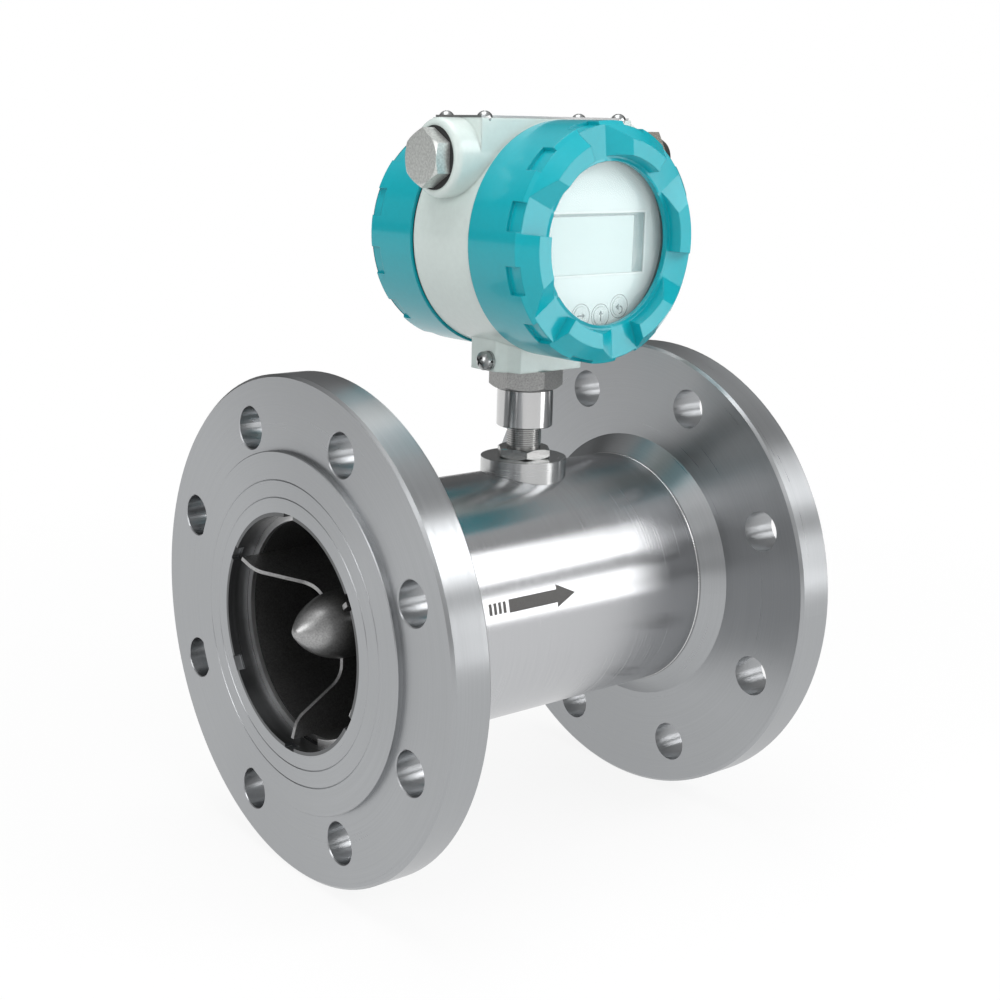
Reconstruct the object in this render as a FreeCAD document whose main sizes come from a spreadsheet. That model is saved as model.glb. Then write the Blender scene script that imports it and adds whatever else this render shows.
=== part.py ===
import FreeCAD, Part
import math
import os
import Sketcher
from FreeCAD import Placement, Rotation, Vector

# Turbine flow meter: a flanged meter tube with a free-running rotor between two guides, a
# magnetic pickup in a boss on top, and a two-chamber display head on the pickup's stem.
# +X is the flow direction along the pipe axis and +Z is up. The origin is the middle of
# the inlet's raised face. The display faces -Y.

os.makedirs("parts", exist_ok=True)
doc = FreeCAD.newDocument("turbine_flow_meter")
sheet = doc.addObject("Spreadsheet::Sheet", "Size")

SIZES = {
    # meter tube and flanges
    "face_to_face": 220.0,
    "pipe_wall": 5.9,
    "pipe_bore": 101.2,
    "bolt_margin": 20.0,
    "flange_thick": 18.4,
    "raised_margin": 2.6,
    "raised_height": 2.7,
    "bolt_circle": 180.0,
    "bolt_hole": 18.4,
    "bolt_count": 8,
    "hole_bevel": 0.4,
    "rim_bevel": 1.2,
    "raised_bevel": 0.4,
    "ring_line_deep": 0.3,
    "ring_line_first": 8.0,
    "ring_line_second": 15.4,
    "hub_rise": 8.7,
    "hub_length": 8.3,
    # flow guides and their retaining rings
    "edge_notch_count": 6,
    "edge_notch_width": 7.0,
    "edge_notch_rise": 1.6,
    "edge_notch_deep": 3.5,
    "clip_start": 10.0,
    "clip_thick": 2.0,
    "clip_bore": 95.0,
    "clip_depth": 1.5,
    "clip_gap": 14.0,
    "clip_tab_angle": 116.0,
    "clip_tab_width": 4.0,
    "clip_tab_reach": 8.5,
    "clip_tab_thick": 1.6,
    "clip_play": 0.1,
    "guide_play": 0.2,
    "guide_rim_wall": 2.9,
    "guide_hub_od": 30.0,
    "guide_tip": 2.2,
    "nose_length": 25.3,
    "nose_tip_radius": 4.0,
    "vane_count": 3,
    "vane_thick": 2.0,
    "vane_root_start": 27.2,
    "vane_sweep_start": 26.8,
    "vane_sweep_low": 24.6,
    "vane_sweep_end": 3.8,
    "vane_sweep_high": 39.0,
    "vane_tip_start": 1.6,
    "vane_curve": 10.0,
    "vane_end": 92.0,
    # rotor, shaft and bearings
    "rotor_length": 27.0,
    "rotor_gap": 0.6,
    "rotor_hub_od": 30.0,
    "blade_count": 8,
    "blade_length": 23.0,
    "blade_thick": 3.0,
    "blade_lead": 210.0,
    "tip_clearance": 1.2,
    "shaft_od": 6.0,
    "shaft_play": 0.05,
    "bearing_od": 16.0,
    "bearing_length": 10.0,
    "bearing_inset": 1.5,
    "bearing_back": 1.2,
    "thrust_thick": 2.0,
    "thrust_od": 9.0,
    "thrust_gap": 0.3,
    # sensor boss, pickup and stem
    "stem_place": 128.0,
    "boss_od": 39.4,
    "boss_rise": 6.4,
    "boss_gap": 0.05,
    "well_wall": 1.2,
    "pickup_od": 15.4,
    "pickup_bore": 11.0,
    "pickup_floor": 2.0,
    "pickup_hold": 13.2,
    "thread_play": 0.1,
    "coil_height": 20.0,
    "magnet_od": 4.8,
    "inner_gap": 0.1,
    "lock_nut_flats": 22.5,
    "lock_nut_height": 4.6,
    "lock_nut_turn": -33.5,
    "thread_show": 9.9,
    "sleeve_od": 25.8,
    "sleeve_length": 17.5,
    "sleeve_bevel": 0.5,
    "spigot_od": 17.0,
    "spigot_over": 1.1,
    "wire_bore": 8.0,
    "swivel_gap": 0.3,
    "adapter_flats": 29.1,
    "adapter_height": 8.8,
    "adapter_turn": -11.0,
    "adapter_stub_od": 24.0,
    "adapter_stub": 15.5,
    "corner_bevel": 30.0,
    "stem_clip_od": 22.0,
    "stem_clip_thick": 1.0,
    "stem_groove_od": 15.0,
    # converter housing
    "neck_od": 91.8,
    "drum_step": 3.9,
    "drum_bevel": 0.5,
    "drum_front": 18.1,
    "drum_rear": 20.9,
    "neck_front": 34.0,
    "neck_rear": 36.0,
    "neck_wall": 3.4,
    "wall_front": 14.0,
    "wall_rear": 10.5,
    "platform_rise": 1.2,
    "entry_od": 33.4,
    "entry_out": 5.2,
    "entry_bore": 20.2,
    "entry_lip": 3.0,
    "entry_recess_od": 26.8,
    "entry_recess": 1.2,
    "base_half": 22.0,
    "base_deep": 14.5,
    "base_fall": 9.0,
    "base_sink": 11.8,
    "base_notch": 10.5,
    "base_round": 3.0,
    # covers
    "cover_skirt": 4.9,
    "cover_gap": 0.8,
    "cover_face": 50.5,
    "cover_clear": 0.3,
    "cover_rear_add": 2.0,
    "cover_edge": 1.4,
    "cover_wall": 5.0,
    "window_od": 68.6,
    "window_edge": 50.9,
    "window_seat": 48.3,
    "lug_count": 6,
    "lug_face": 56.2,
    "lug_inner_margin": 2.1,
    "lug_inner_lean": 0.9,
    "lug_outer_margin": 1.6,
    "lug_outer_lean": 5.4,
    "lug_angle": 42.3,
    "lug_ramp": 10.4,
    "lug_phase": 95.8,
    "notch_count": 12,
    "notch_angle": 14.0,
    "notch_offset": 19.8,
    "notch_depth": 1.6,
    "notch_length": 7.5,
    "seal_play": 0.1,
    "seal_inset": 0.4,
    # window
    "gasket_thick": 0.5,
    "gasket_inset": 0.4,
    "glass_inset": 2.4,
    "glass_thick": 4.0,
    "glass_play": 0.3,
    "ring_inset": 0.4,
    "ring_wall": 4.8,
    "ring_thick": 2.8,
    "ring_run": 1.0,
    "ring_play": 0.1,
    # display stack
    "plate_gap": 3.9,
    "plate_front": 42.8,
    "plate_thick": 1.5,
    "view_width": 57.0,
    "view_height": 26.0,
    "view_drop": 0.4,
    "lcd_play": 0.2,
    "lcd_recess": 0.5,
    "module_width": 66.0,
    "module_height": 35.0,
    "module_thick": 5.0,
    "key_count": 3,
    "key_od": 7.8,
    "key_play": 0.2,
    "key_edge": 7.1,
    "key_first": 13.5,
    "key_pitch": 21.0,
    "key_proud": 0.3,
    "key_flange_od": 9.4,
    "key_flange_thick": 0.8,
    "key_back_gap": 0.2,
    "key_travel": 0.6,
    "key_plunger_od": 3.0,
    "switch_size": 6.0,
    "switch_height": 3.0,
    "board_gap": 4.5,
    "board_front": 33.0,
    "board_thick": 1.6,
    "main_board_front": 23.0,
    "spacer_od": 4.6,
    "spacer_edge": 4.0,
    "spacer_angle": 47.3,
    "pillar_od": 5.0,
    "chip_size": 12.0,
    "chip_height": 2.4,
    # terminals
    "terminal_width": 50.0,
    "terminal_height": 16.0,
    "terminal_deep": 12.0,
    "terminal_step": 5.0,
    "terminal_drop": 8.0,
    "terminal_count": 5,
    "terminal_pitch": 9.0,
    "terminal_screw_od": 5.0,
    "terminal_screw_inset": 1.0,
    # name plate and its screws
    "tag_half": 42.4,
    "tag_deep": 15.6,
    "tag_thick": 1.0,
    "tag_end_edge": 0.6,
    "tag_side_edge": 0.9,
    "tag_screw_end": 3.65,
    "tag_screw_side": 2.4,
    "tag_head_od": 5.4,
    "tag_head_height": 1.9,
    "tag_shank_od": 2.9,
    "tag_shank_length": 6.0,
    # earth screw
    "earth_rise": 4.8,
    "earth_side": 0.0,
    "earth_washer_od": 8.8,
    "earth_washer_thick": 1.2,
    "earth_spring_od": 8.2,
    "earth_spring_thick": 1.2,
    "earth_head_od": 8.4,
    "earth_head_height": 3.4,
    "earth_shank_od": 4.8,
    "earth_shank_length": 7.0,
    "slot_width": 1.0,
    # blanking plug and cable gland
    "plug_flats": 21.6,
    "plug_head": 7.1,
    "plug_bevel": 30.0,
    "plug_stub": 11.0,
    "fitting_play": 0.1,
    "gland_flats": 24.0,
    "gland_flange": 5.0,
    "gland_neck_od": 20.0,
    "gland_neck": 12.0,
    "gland_nut_length": 17.0,
    "gland_nut_wall": 2.0,
    "gland_gap": 0.5,
    "gland_bore": 9.0,
    "gland_seal_od": 15.0,
    "gland_mouth": 12.0,
}

for row, (alias, value) in enumerate(SIZES.items(), start=1):
    sheet.set("A%d" % row, alias)
    sheet.set("B%d" % row, str(value))
    sheet.setAlias("B%d" % row, alias)
doc.recompute()


def size(alias):
    """The value of one cell of the sheet."""
    return float(sheet.get(alias))


def worth(expression):
    """The number that an expression on the sheet's cells gives."""
    return float(sheet.evalExpression(expression))


# Sizes that follow from the driving ones, as expressions for the features below.
PIPE_OD = "(Size.pipe_bore + 2 * Size.pipe_wall)"
FLANGE_OD = "(Size.bolt_circle + 2 * Size.bolt_margin)"
RAISED_OD = "(Size.bolt_circle - Size.bolt_hole - 2 * Size.raised_margin)"
WELL_FLOOR = "(Size.pipe_bore / 2 + Size.well_wall)"
BOSS_TOP = "(%s / 2 + Size.boss_rise)" % PIPE_OD
SLEEVE_BOTTOM = "(%s + Size.lock_nut_height + Size.thread_show)" % BOSS_TOP
SLEEVE_TOP = "(%s + Size.sleeve_length)" % SLEEVE_BOTTOM
PICKUP_TOP = "(%s + Size.pickup_hold)" % SLEEVE_BOTTOM
ADAPTER_BOTTOM = "(%s + Size.swivel_gap)" % SLEEVE_TOP
FOOT_SEAT = "(%s + Size.adapter_height)" % ADAPTER_BOTTOM
STUB_TOP = "(%s + Size.adapter_stub)" % FOOT_SEAT
DRUM_OD = "(Size.neck_od + 2 * Size.drum_step)"
BASE_DROP = "(%s / 2 + Size.base_fall)" % DRUM_OD
HEAD_HEIGHT = "(%s + %s)" % (FOOT_SEAT, BASE_DROP)
CHAMBER_OD = "(Size.neck_od - 2 * Size.neck_wall)"
COVER_OD = "(Size.neck_od + 2 * Size.cover_skirt)"
GLASS_OD = "(Size.neck_od - 2 * Size.glass_inset)"
RING_OD = "(Size.neck_od - 2 * Size.ring_inset)"
PLATE_OD = "(%s - 2 * Size.plate_gap)" % CHAMBER_OD
BOARD_OD = "(%s - 2 * Size.board_gap)" % CHAMBER_OD
PLATFORM_TOP = "(%s / 2 + Size.platform_rise)" % DRUM_OD
ENTRY_HEIGHT = "(%s - Size.entry_od / 2)" % PLATFORM_TOP
ENTRY_REACH = "(%s / 2 + Size.entry_out)" % DRUM_OD
KEY_CIRCLE = "(%s / 2 - Size.key_edge)" % PLATE_OD
SPACER_CIRCLE = "(%s / 2 - Size.spacer_edge)" % BOARD_OD
GLASS_BACK = "(Size.window_seat - Size.gasket_thick - Size.glass_thick)"

FRONT = Rotation(Vector(0, 0, 1), -90)
REAR = Rotation(Vector(0, 0, 1), 90)
LEFT = Rotation(Vector(0, 0, 1), 180)
UP = Rotation(Vector(0, 1, 0), -90)


def new_body(label, turn=Rotation(), x="0", y="0", z="0"):
    """An empty body whose own frame is turned, then placed by three expressions."""
    body = doc.addObject("PartDesign::Body", label)
    body.Label = label
    body.Placement = Placement(Vector(), turn)
    for axis, place in (("x", x), ("y", y), ("z", z)):
        body.setExpression("Placement.Base.%s" % axis, place)
    return body


def head_body(label, turn=Rotation()):
    """A body whose frame stands at the middle of the display head."""
    return new_body(label, turn, x="Size.stem_place", z=HEAD_HEIGHT)


def new_sketch(body, name, role, lift="0", turn=0.0):
    """A sketch on one of the body's own origin planes, lifted along that plane's normal."""
    sketch = body.newObject("Sketcher::SketchObject", name)
    plane = [item for item in body.Origin.OriginFeatures if item.Role == role][0]
    sketch.AttachmentSupport = [(plane, "")]
    sketch.MapMode = "FlatFace"
    sketch.AttachmentOffset = Placement(Vector(), Rotation(Vector(1, 0, 0), turn))
    sketch.setExpression("AttachmentOffset.Base.z", lift)
    return sketch


def bind(sketch, kind, index, point, expression):
    """Holds one coordinate of a point of the sketch to an expression."""
    number = sketch.addConstraint(Sketcher.Constraint(kind, -1, 1, index, point, 1.0))
    sketch.setExpression("Constraints[%d]" % number, expression)


def outline(body, name, role, corners, lift="0", turn=0.0):
    """A closed outline of straight edges, each corner bound to a pair of expressions."""
    sketch = new_sketch(body, name, role, lift, turn)
    count = len(corners)
    spots = [Vector(math.cos(i * math.tau / count), math.sin(i * math.tau / count), 0)
             for i in range(count)]
    for i in range(count):
        sketch.addGeometry(Part.LineSegment(spots[i], spots[(i + 1) % count]))
    for i in range(count):
        sketch.addConstraint(Sketcher.Constraint("Coincident", i, 2, (i + 1) % count, 1))
    for i, (across, along) in enumerate(corners):
        bind(sketch, "DistanceX", i, 1, across)
        bind(sketch, "DistanceY", i, 1, along)
    return sketch


def rectangle(body, name, role, low, high, lift="0"):
    """A rectangle between two corners."""
    corners = [(low[0], low[1]), (high[0], low[1]), (high[0], high[1]), (low[0], high[1])]
    return outline(body, name, role, corners, lift)


def circles(body, name, role, diameter, centres=(("0", "0"),), lift="0"):
    """Circles of one diameter about the given centres."""
    sketch = new_sketch(body, name, role, lift)
    for index, (across, along) in enumerate(centres):
        start = Vector(3.0 * index, 1.0, 0)
        sketch.addGeometry(Part.Circle(start, Vector(0, 0, 1), 1.0))
        number = sketch.addConstraint(Sketcher.Constraint("Diameter", index, 2.0))
        sketch.setExpression("Constraints[%d]" % number, diameter)
        bind(sketch, "DistanceX", index, 3, across)
        bind(sketch, "DistanceY", index, 3, along)
    return sketch


def hexagon(body, name, role, flats, lift="0"):
    """A regular hexagon about the origin, with two corners on the sketch's first axis."""
    reach = "%s / sqrt(3)" % flats
    corners = [("%s * cos(%d deg)" % (reach, angle), "%s * sin(%d deg)" % (reach, angle))
               for angle in range(0, 360, 60)]
    return outline(body, name, role, corners, lift)


def extrude(body, kind, sketch, length, reverse=False, middle=False):
    """A Pad or a Pocket of the sketch."""
    feature = body.newObject("PartDesign::" + kind, kind + "_" + sketch.Name)
    feature.Profile = sketch
    feature.setExpression("Length", length)
    feature.Reversed = reverse
    if middle:
        feature.SideType = "Symmetric"
    return feature


def pad(body, sketch, length, reverse=False, middle=False):
    return extrude(body, "Pad", sketch, length, reverse, middle)


def pocket(body, sketch, length, reverse=False, middle=False):
    return extrude(body, "Pocket", sketch, length, reverse, middle)


def turned(body, kind, sketch, axis="H_Axis", angle="360", reverse=False, middle=False):
    """A Revolution or a Groove of the sketch about one of its own axes."""
    feature = body.newObject("PartDesign::" + kind, kind + "_" + sketch.Name)
    feature.Profile = sketch
    feature.ReferenceAxis = (sketch, [axis])
    feature.setExpression("Angle", angle)
    feature.Reversed = reverse
    feature.Midplane = middle
    return feature


def around(body, features, sketch, count, name, axis="H_Axis"):
    """Repeats features evenly round an axis of a sketch."""
    pattern = body.newObject("PartDesign::PolarPattern", name)
    pattern.Originals = features
    pattern.Axis = (sketch, [axis])
    pattern.Angle = 360
    pattern.setExpression("Occurrences", count)
    body.Tip = pattern
    return pattern


def dress(body, kind, base, names, amount):
    """A Fillet or a Chamfer on named edges of a feature."""
    feature = body.newObject("PartDesign::" + kind, kind + "_" + base.Name)
    feature.Base = (base, names)
    feature.setExpression("Radius" if kind == "Fillet" else "Size", amount)
    body.Tip = feature
    return feature


def edges_where(feature, test):
    """Names of the feature's edges that pass a test."""
    doc.recompute()
    return ["Edge%d" % (i + 1) for i, edge in enumerate(feature.Shape.Edges) if test(edge)]


# ------------------------------------------------------------------ meter tube and flanges

def make_flange(label, turn, x):
    """A welding flange with its raised face at the local origin and its hub along +X."""
    body = new_body(label, turn, x=x)
    back = "Size.raised_height + Size.flange_thick"
    end = back + " + Size.hub_length"
    scribed = []
    for offset in ("Size.ring_line_first", "Size.ring_line_second"):
        middle = "Size.pipe_bore / 2 + " + offset
        scribed += [("0", middle + " - Size.ring_line_deep"), ("Size.ring_line_deep", middle),
                    ("0", middle + " + Size.ring_line_deep")]
    profile = outline(body, "Profile", "XY_Plane", [
        ("0", "Size.pipe_bore / 2"),
        *scribed,
        ("0", RAISED_OD + " / 2 - Size.raised_bevel"),
        ("Size.raised_bevel", RAISED_OD + " / 2"),
        ("Size.raised_height", RAISED_OD + " / 2"),
        ("Size.raised_height", FLANGE_OD + " / 2 - Size.rim_bevel"),
        ("Size.raised_height + Size.rim_bevel", FLANGE_OD + " / 2"),
        (back + " - Size.rim_bevel", FLANGE_OD + " / 2"),
        (back, FLANGE_OD + " / 2 - Size.rim_bevel"),
        (back, PIPE_OD + " / 2 + Size.hub_rise"),
        (end, PIPE_OD + " / 2"),
        (end, "Size.pipe_bore / 2"),
    ])
    turned(body, "Revolution", profile)
    groove = outline(body, "ClipGroove", "XY_Plane", [
        ("Size.clip_start - Size.clip_play", "Size.pipe_bore / 2 - 1"),
        ("Size.clip_start - Size.clip_play", "Size.pipe_bore / 2 + Size.clip_depth + Size.clip_play"),
        ("Size.clip_start + Size.clip_thick + Size.clip_play",
         "Size.pipe_bore / 2 + Size.clip_depth + Size.clip_play"),
        ("Size.clip_start + Size.clip_thick + Size.clip_play", "Size.pipe_bore / 2 - 1"),
    ])
    turned(body, "Groove", groove)
    place = "Size.bolt_circle / 2"
    half_step = "180 deg / Size.bolt_count"
    centre = (("%s * sin(%s)" % (place, half_step), "%s * cos(%s)" % (place, half_step)),)
    hole = circles(body, "BoltHole", "YZ_Plane", "Size.bolt_hole", centre, "Size.raised_height")
    drilled = pocket(body, hole, "Size.flange_thick", reverse=True)
    mouth = circles(body, "HoleMouth", "YZ_Plane", "Size.bolt_hole + 2 * Size.hole_bevel",
                    centre, "Size.raised_height")
    around(body, [drilled], profile, "Size.bolt_count", "BoltCircle")
    bevel = pocket(body, mouth, "Size.hole_bevel", reverse=True)
    bevel.TaperAngle = -45
    around(body, [bevel], profile, "Size.bolt_count", "HoleBevels")
    across = "Size.edge_notch_width / 2"
    reach = "Size.pipe_bore / 2"
    nick = rectangle(body, "EdgeNotch", "YZ_Plane",
                     ("-" + across, "-%s - Size.edge_notch_rise" % reach), (across, "-%s + 1" % reach))
    cut = pocket(body, nick, "Size.edge_notch_deep", reverse=True)
    around(body, [cut], profile, "Size.edge_notch_count", "EdgeNotches")
    return body


def make_tube():
    """The pipe between the two flange hubs, with the blind well for the pickup."""
    end = "Size.raised_height + Size.flange_thick + Size.hub_length"
    body = new_body("meter_tube")
    wall = rectangle(body, "Wall", "XY_Plane", (end, "Size.pipe_bore / 2"),
                     ("Size.face_to_face - (%s)" % end, PIPE_OD + " / 2"))
    turned(body, "Revolution", wall)
    well = circles(body, "PickupWell", "XY_Plane", "Size.pickup_od + 2 * Size.thread_play",
                   (("Size.stem_place", "0"),), WELL_FLOOR)
    pocket(body, well, PIPE_OD + " / 2", reverse=True)
    return body


# ------------------------------------------------------------------ flow guides

def nose_outline(body):
    """Half of a round-tipped pointed nose: a long arc from the hub meets a small tip arc."""
    length, tip = size("nose_length"), size("nose_tip_radius")
    radius, start = size("guide_hub_od") / 2, size("guide_tip")
    side = ((length - tip) ** 2 + radius ** 2 - tip ** 2) / (2 * (radius - tip))
    middle = Vector(start + tip, 0, 0)
    centre = Vector(start + length, radius - side, 0)
    meet = middle + (middle - centre).normalize() * tip
    angle = math.atan2(meet.y, meet.x - middle.x)
    sketch = new_sketch(body, "NoseOutline", "XY_Plane")
    upright = Vector(0, 0, 1)
    sketch.addGeometry(Part.LineSegment(Vector(start + length, 0, 0), Vector(start + length, radius, 0)))
    sketch.addGeometry(Part.ArcOfCircle(Part.Circle(centre, upright, side), math.pi / 2, angle))
    sketch.addGeometry(Part.ArcOfCircle(Part.Circle(middle, upright, tip), angle, math.pi))
    sketch.addGeometry(Part.LineSegment(Vector(start, 0, 0), Vector(start + length, 0, 0)))
    for i in (0, 2, 3):
        sketch.addConstraint(Sketcher.Constraint("Coincident", i, 2, (i + 1) % 4, 1))
    sketch.addConstraint(Sketcher.Constraint("Tangent", 1, 2, 2, 1))
    bind(sketch, "DistanceX", 0, 1, "Size.guide_tip + Size.nose_length")
    bind(sketch, "DistanceY", 0, 2, "Size.guide_hub_od / 2")
    bind(sketch, "DistanceX", 3, 1, "Size.guide_tip")
    bind(sketch, "DistanceX", 2, 3, "Size.guide_tip + Size.nose_tip_radius")
    sketch.addConstraint(Sketcher.Constraint("Vertical", 0))
    sketch.addConstraint(Sketcher.Constraint("PointOnObject", 2, 3, -1))
    sketch.addConstraint(Sketcher.Constraint("PointOnObject", 3, 1, -1))
    sketch.addConstraint(Sketcher.Constraint("PointOnObject", 3, 2, -1))
    sketch.addConstraint(Sketcher.Constraint("Vertical", 1, 3, 0, 1))
    return sketch


def make_guide(label, turn, x):
    """A streamlined hub on three vanes inside a rim; its nose points along local -X."""
    body = new_body(label, turn, x=x)
    hub_end = "Size.stem_place - Size.rotor_length / 2 - Size.rotor_gap"
    if label == "outlet_guide":
        hub_end = "Size.face_to_face - Size.stem_place - Size.rotor_length / 2 - Size.rotor_gap"
    pocket_end = "(%s) - Size.bearing_inset - Size.bearing_length - Size.bearing_back" % hub_end
    shell = outline(body, "Hub", "XY_Plane", [
        ("Size.guide_tip + Size.nose_length", "0"),
        ("Size.guide_tip + Size.nose_length", "Size.guide_hub_od / 2"),
        (hub_end, "Size.guide_hub_od / 2"),
        (hub_end, "Size.bearing_od / 2"),
        (pocket_end, "Size.bearing_od / 2"),
        (pocket_end, "Size.thrust_od / 2"),
        (pocket_end + " - Size.thrust_thick", "Size.thrust_od / 2"),
        (pocket_end + " - Size.thrust_thick", "0"),
    ])
    turned(body, "Revolution", shell)
    turned(body, "Revolution", nose_outline(body))
    rim_start = "Size.clip_start + Size.clip_thick + 2 * Size.clip_play"
    rim_outer = "Size.pipe_bore / 2 - Size.guide_play"
    vane_end = "Size.vane_end" if label == "inlet_guide" else hub_end + " - Size.bearing_inset"
    rim = rectangle(body, "Rim", "XY_Plane", (rim_start, rim_outer + " - Size.guide_rim_wall"),
                    (vane_end, rim_outer))
    root = "Size.guide_hub_od / 2 - 1"
    inside_clip = "Size.clip_bore / 2 - Size.guide_play"
    inside_rim = rim_outer + " - Size.guide_rim_wall / 2"
    vane = outline(body, "Vane", "XZ_Plane", [
        ("Size.vane_root_start", "-(%s)" % root),
        ("Size.vane_sweep_start", "-Size.vane_sweep_low"),
        ("Size.vane_sweep_end", "-Size.vane_sweep_high"),
        ("Size.vane_tip_start", "-(%s)" % inside_clip),
        (rim_start, "-(%s)" % inside_clip),
        (rim_start, "-(%s)" % inside_rim),
        (vane_end, "-(%s)" % inside_rim),
        (vane_end, "-(%s)" % root),
    ])
    blade = pad(body, vane, "Size.vane_thick", middle=True)
    bends = [size("vane_sweep_low"), size("vane_sweep_high")]

    def swept_corner(edge):
        box = edge.BoundBox
        across = box.YLength > size("vane_thick") - 0.1 and box.ZLength < 0.01 and box.XLength < 0.01
        return across and min(abs(abs(box.ZMin) - bend) for bend in bends) < 0.01
    corners = edges_where(blade, swept_corner)
    swept = dress(body, "Fillet", blade, corners, "Size.vane_curve")
    around(body, [blade, swept], rim, "Size.vane_count", "Vanes")
    turned(body, "Revolution", rim)
    return body


def make_clip(label, turn, x):
    """A sprung retaining ring, open at the bottom, in the groove of a flange bore."""
    body = new_body(label, turn, x=x)
    outer = "Size.pipe_bore + 2 * Size.clip_depth"
    disc = circles(body, "Outside", "YZ_Plane", outer, lift="Size.clip_start")
    pad(body, disc, "Size.clip_thick")
    bore = circles(body, "Inside", "YZ_Plane", "Size.clip_bore", lift="Size.clip_start")
    pocket(body, bore, "Size.clip_thick", reverse=True)
    gap = rectangle(body, "Gap", "YZ_Plane", ("-Size.clip_gap / 2", "-Size.pipe_bore"),
                    ("Size.clip_gap / 2", "0"), "Size.clip_start")
    pocket(body, gap, "Size.clip_thick", reverse=True)
    half = "Size.clip_tab_width / 2"
    high = "Size.pipe_bore / 2 - Size.clip_play"
    low = high + " - Size.clip_tab_thick"
    tab = rectangle(body, "Tab", "YZ_Plane", ("-" + half, low), (half, high),
                    "Size.clip_start - Size.clip_tab_reach")
    tab.AttachmentOffset = Placement(Vector(), Rotation(Vector(0, 0, 1), size("clip_tab_angle")))
    tab.setExpression("AttachmentOffset.Base.z", "Size.clip_start - Size.clip_tab_reach")
    pad(body, tab, "Size.clip_tab_reach + Size.clip_thick")
    return body


# ------------------------------------------------------------------ rotor and bearings

def make_rotor():
    """A hub with helical blades that run just clear of the bore."""
    body = new_body("rotor", x="Size.stem_place")
    hub = rectangle(body, "Hub", "XY_Plane", ("-Size.rotor_length / 2", "Size.shaft_od / 2"),
                    ("Size.rotor_length / 2", "Size.rotor_hub_od / 2"))
    turned(body, "Revolution", hub)
    tip = "Size.pipe_bore / 2 - Size.tip_clearance"
    start = "-Size.blade_length / 2"
    profile = rectangle(body, "Blade", "XY_Plane", (start, "Size.rotor_hub_od / 2 - 1"),
                        (start + " + Size.blade_thick", tip))
    twist = body.newObject("PartDesign::AdditiveHelix", "Twist")
    twist.Profile = profile
    twist.ReferenceAxis = (profile, ["H_Axis"])
    twist.Mode = "pitch-height-angle"
    twist.setExpression("Pitch", "Size.blade_lead")
    twist.setExpression("Height", "Size.blade_length - Size.blade_thick")
    around(body, [twist], hub, "Size.blade_count", "Blades")
    return body


def make_shaft():
    """The rotor's shaft, held in its hub and running in both bearings."""
    body = new_body("rotor_shaft", x="Size.stem_place")
    section = circles(body, "Section", "YZ_Plane", "Size.shaft_od")
    half = ("Size.rotor_length / 2 + Size.rotor_gap + Size.bearing_inset + Size.bearing_length"
            " + Size.bearing_back - Size.thrust_gap")
    pad(body, section, "2 * (%s)" % half, middle=True)
    return body


def make_bearing(label, turn):
    """A flanged plain bearing pressed into a guide hub, built outwards from the rotor."""
    body = new_body(label, turn, x="Size.stem_place")
    start = "Size.rotor_length / 2 + Size.rotor_gap + Size.bearing_inset"
    wall = rectangle(body, "Wall", "XY_Plane", (start, "Size.shaft_od / 2 + Size.shaft_play"),
                     (start + " + Size.bearing_length", "Size.bearing_od / 2"))
    turned(body, "Revolution", wall)
    return body


def make_thrust(label, turn):
    """A hard thrust pad behind the shaft's end."""
    body = new_body(label, turn, x="Size.stem_place")
    place = ("Size.rotor_length / 2 + Size.rotor_gap + Size.bearing_inset"
             " + Size.bearing_length + Size.bearing_back")
    disc = circles(body, "Disc", "YZ_Plane", "Size.thrust_od", lift=place)
    pad(body, disc, "Size.thrust_thick")
    return body


# ------------------------------------------------------------------ boss, pickup and stem

def stem_body(label, turn=Rotation()):
    """A body on the stem's axis, with local X up the stem from the pipe axis."""
    return new_body(label, UP * turn, x="Size.stem_place")


def make_boss():
    """A round boss saddled on the pipe and bored for the pickup's thread."""
    body = new_body("sensor_boss", x="Size.stem_place")
    disc = circles(body, "Disc", "XY_Plane", "Size.boss_od", lift="Size.pipe_bore / 2")
    pad(body, disc, BOSS_TOP + " - Size.pipe_bore / 2")
    saddle = circles(body, "Saddle", "YZ_Plane", PIPE_OD + " + 2 * Size.boss_gap")
    pocket(body, saddle, "2 * Size.boss_od", middle=True)
    bore = circles(body, "Bore", "XY_Plane", "Size.pickup_od + 2 * Size.thread_play",
                   lift="Size.pipe_bore / 2")
    pocket(body, bore, BOSS_TOP, reverse=True)
    return body


def make_pickup():
    """The threaded tube of the magnetic pickup, closed at its sensing end."""
    body = stem_body("pickup_tube")
    floor = WELL_FLOOR + " + Size.inner_gap"
    wall = outline(body, "Wall", "XY_Plane", [
        (floor, "0"),
        (floor, "Size.pickup_od / 2"),
        (PICKUP_TOP, "Size.pickup_od / 2"),
        (PICKUP_TOP, "Size.pickup_bore / 2"),
        (floor + " + Size.pickup_floor", "Size.pickup_bore / 2"),
        (floor + " + Size.pickup_floor", "0"),
    ])
    turned(body, "Revolution", wall)
    return body


def make_coil():
    """The pickup's winding on its bobbin."""
    body = stem_body("pickup_coil")
    start = WELL_FLOOR + " + Size.pickup_floor + 2 * Size.inner_gap"
    wall = rectangle(body, "Winding", "XY_Plane", (start, "Size.magnet_od / 2 + Size.inner_gap"),
                     (start + " + Size.coil_height", "Size.pickup_bore / 2 - Size.inner_gap"))
    turned(body, "Revolution", wall)
    return body


def make_magnet():
    """The bar magnet inside the winding."""
    body = stem_body("pickup_magnet")
    start = WELL_FLOOR + " + Size.pickup_floor + 2 * Size.inner_gap"
    disc = circles(body, "Section", "YZ_Plane", "Size.magnet_od", lift=start)
    pad(body, disc, "Size.coil_height")
    return body


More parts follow.
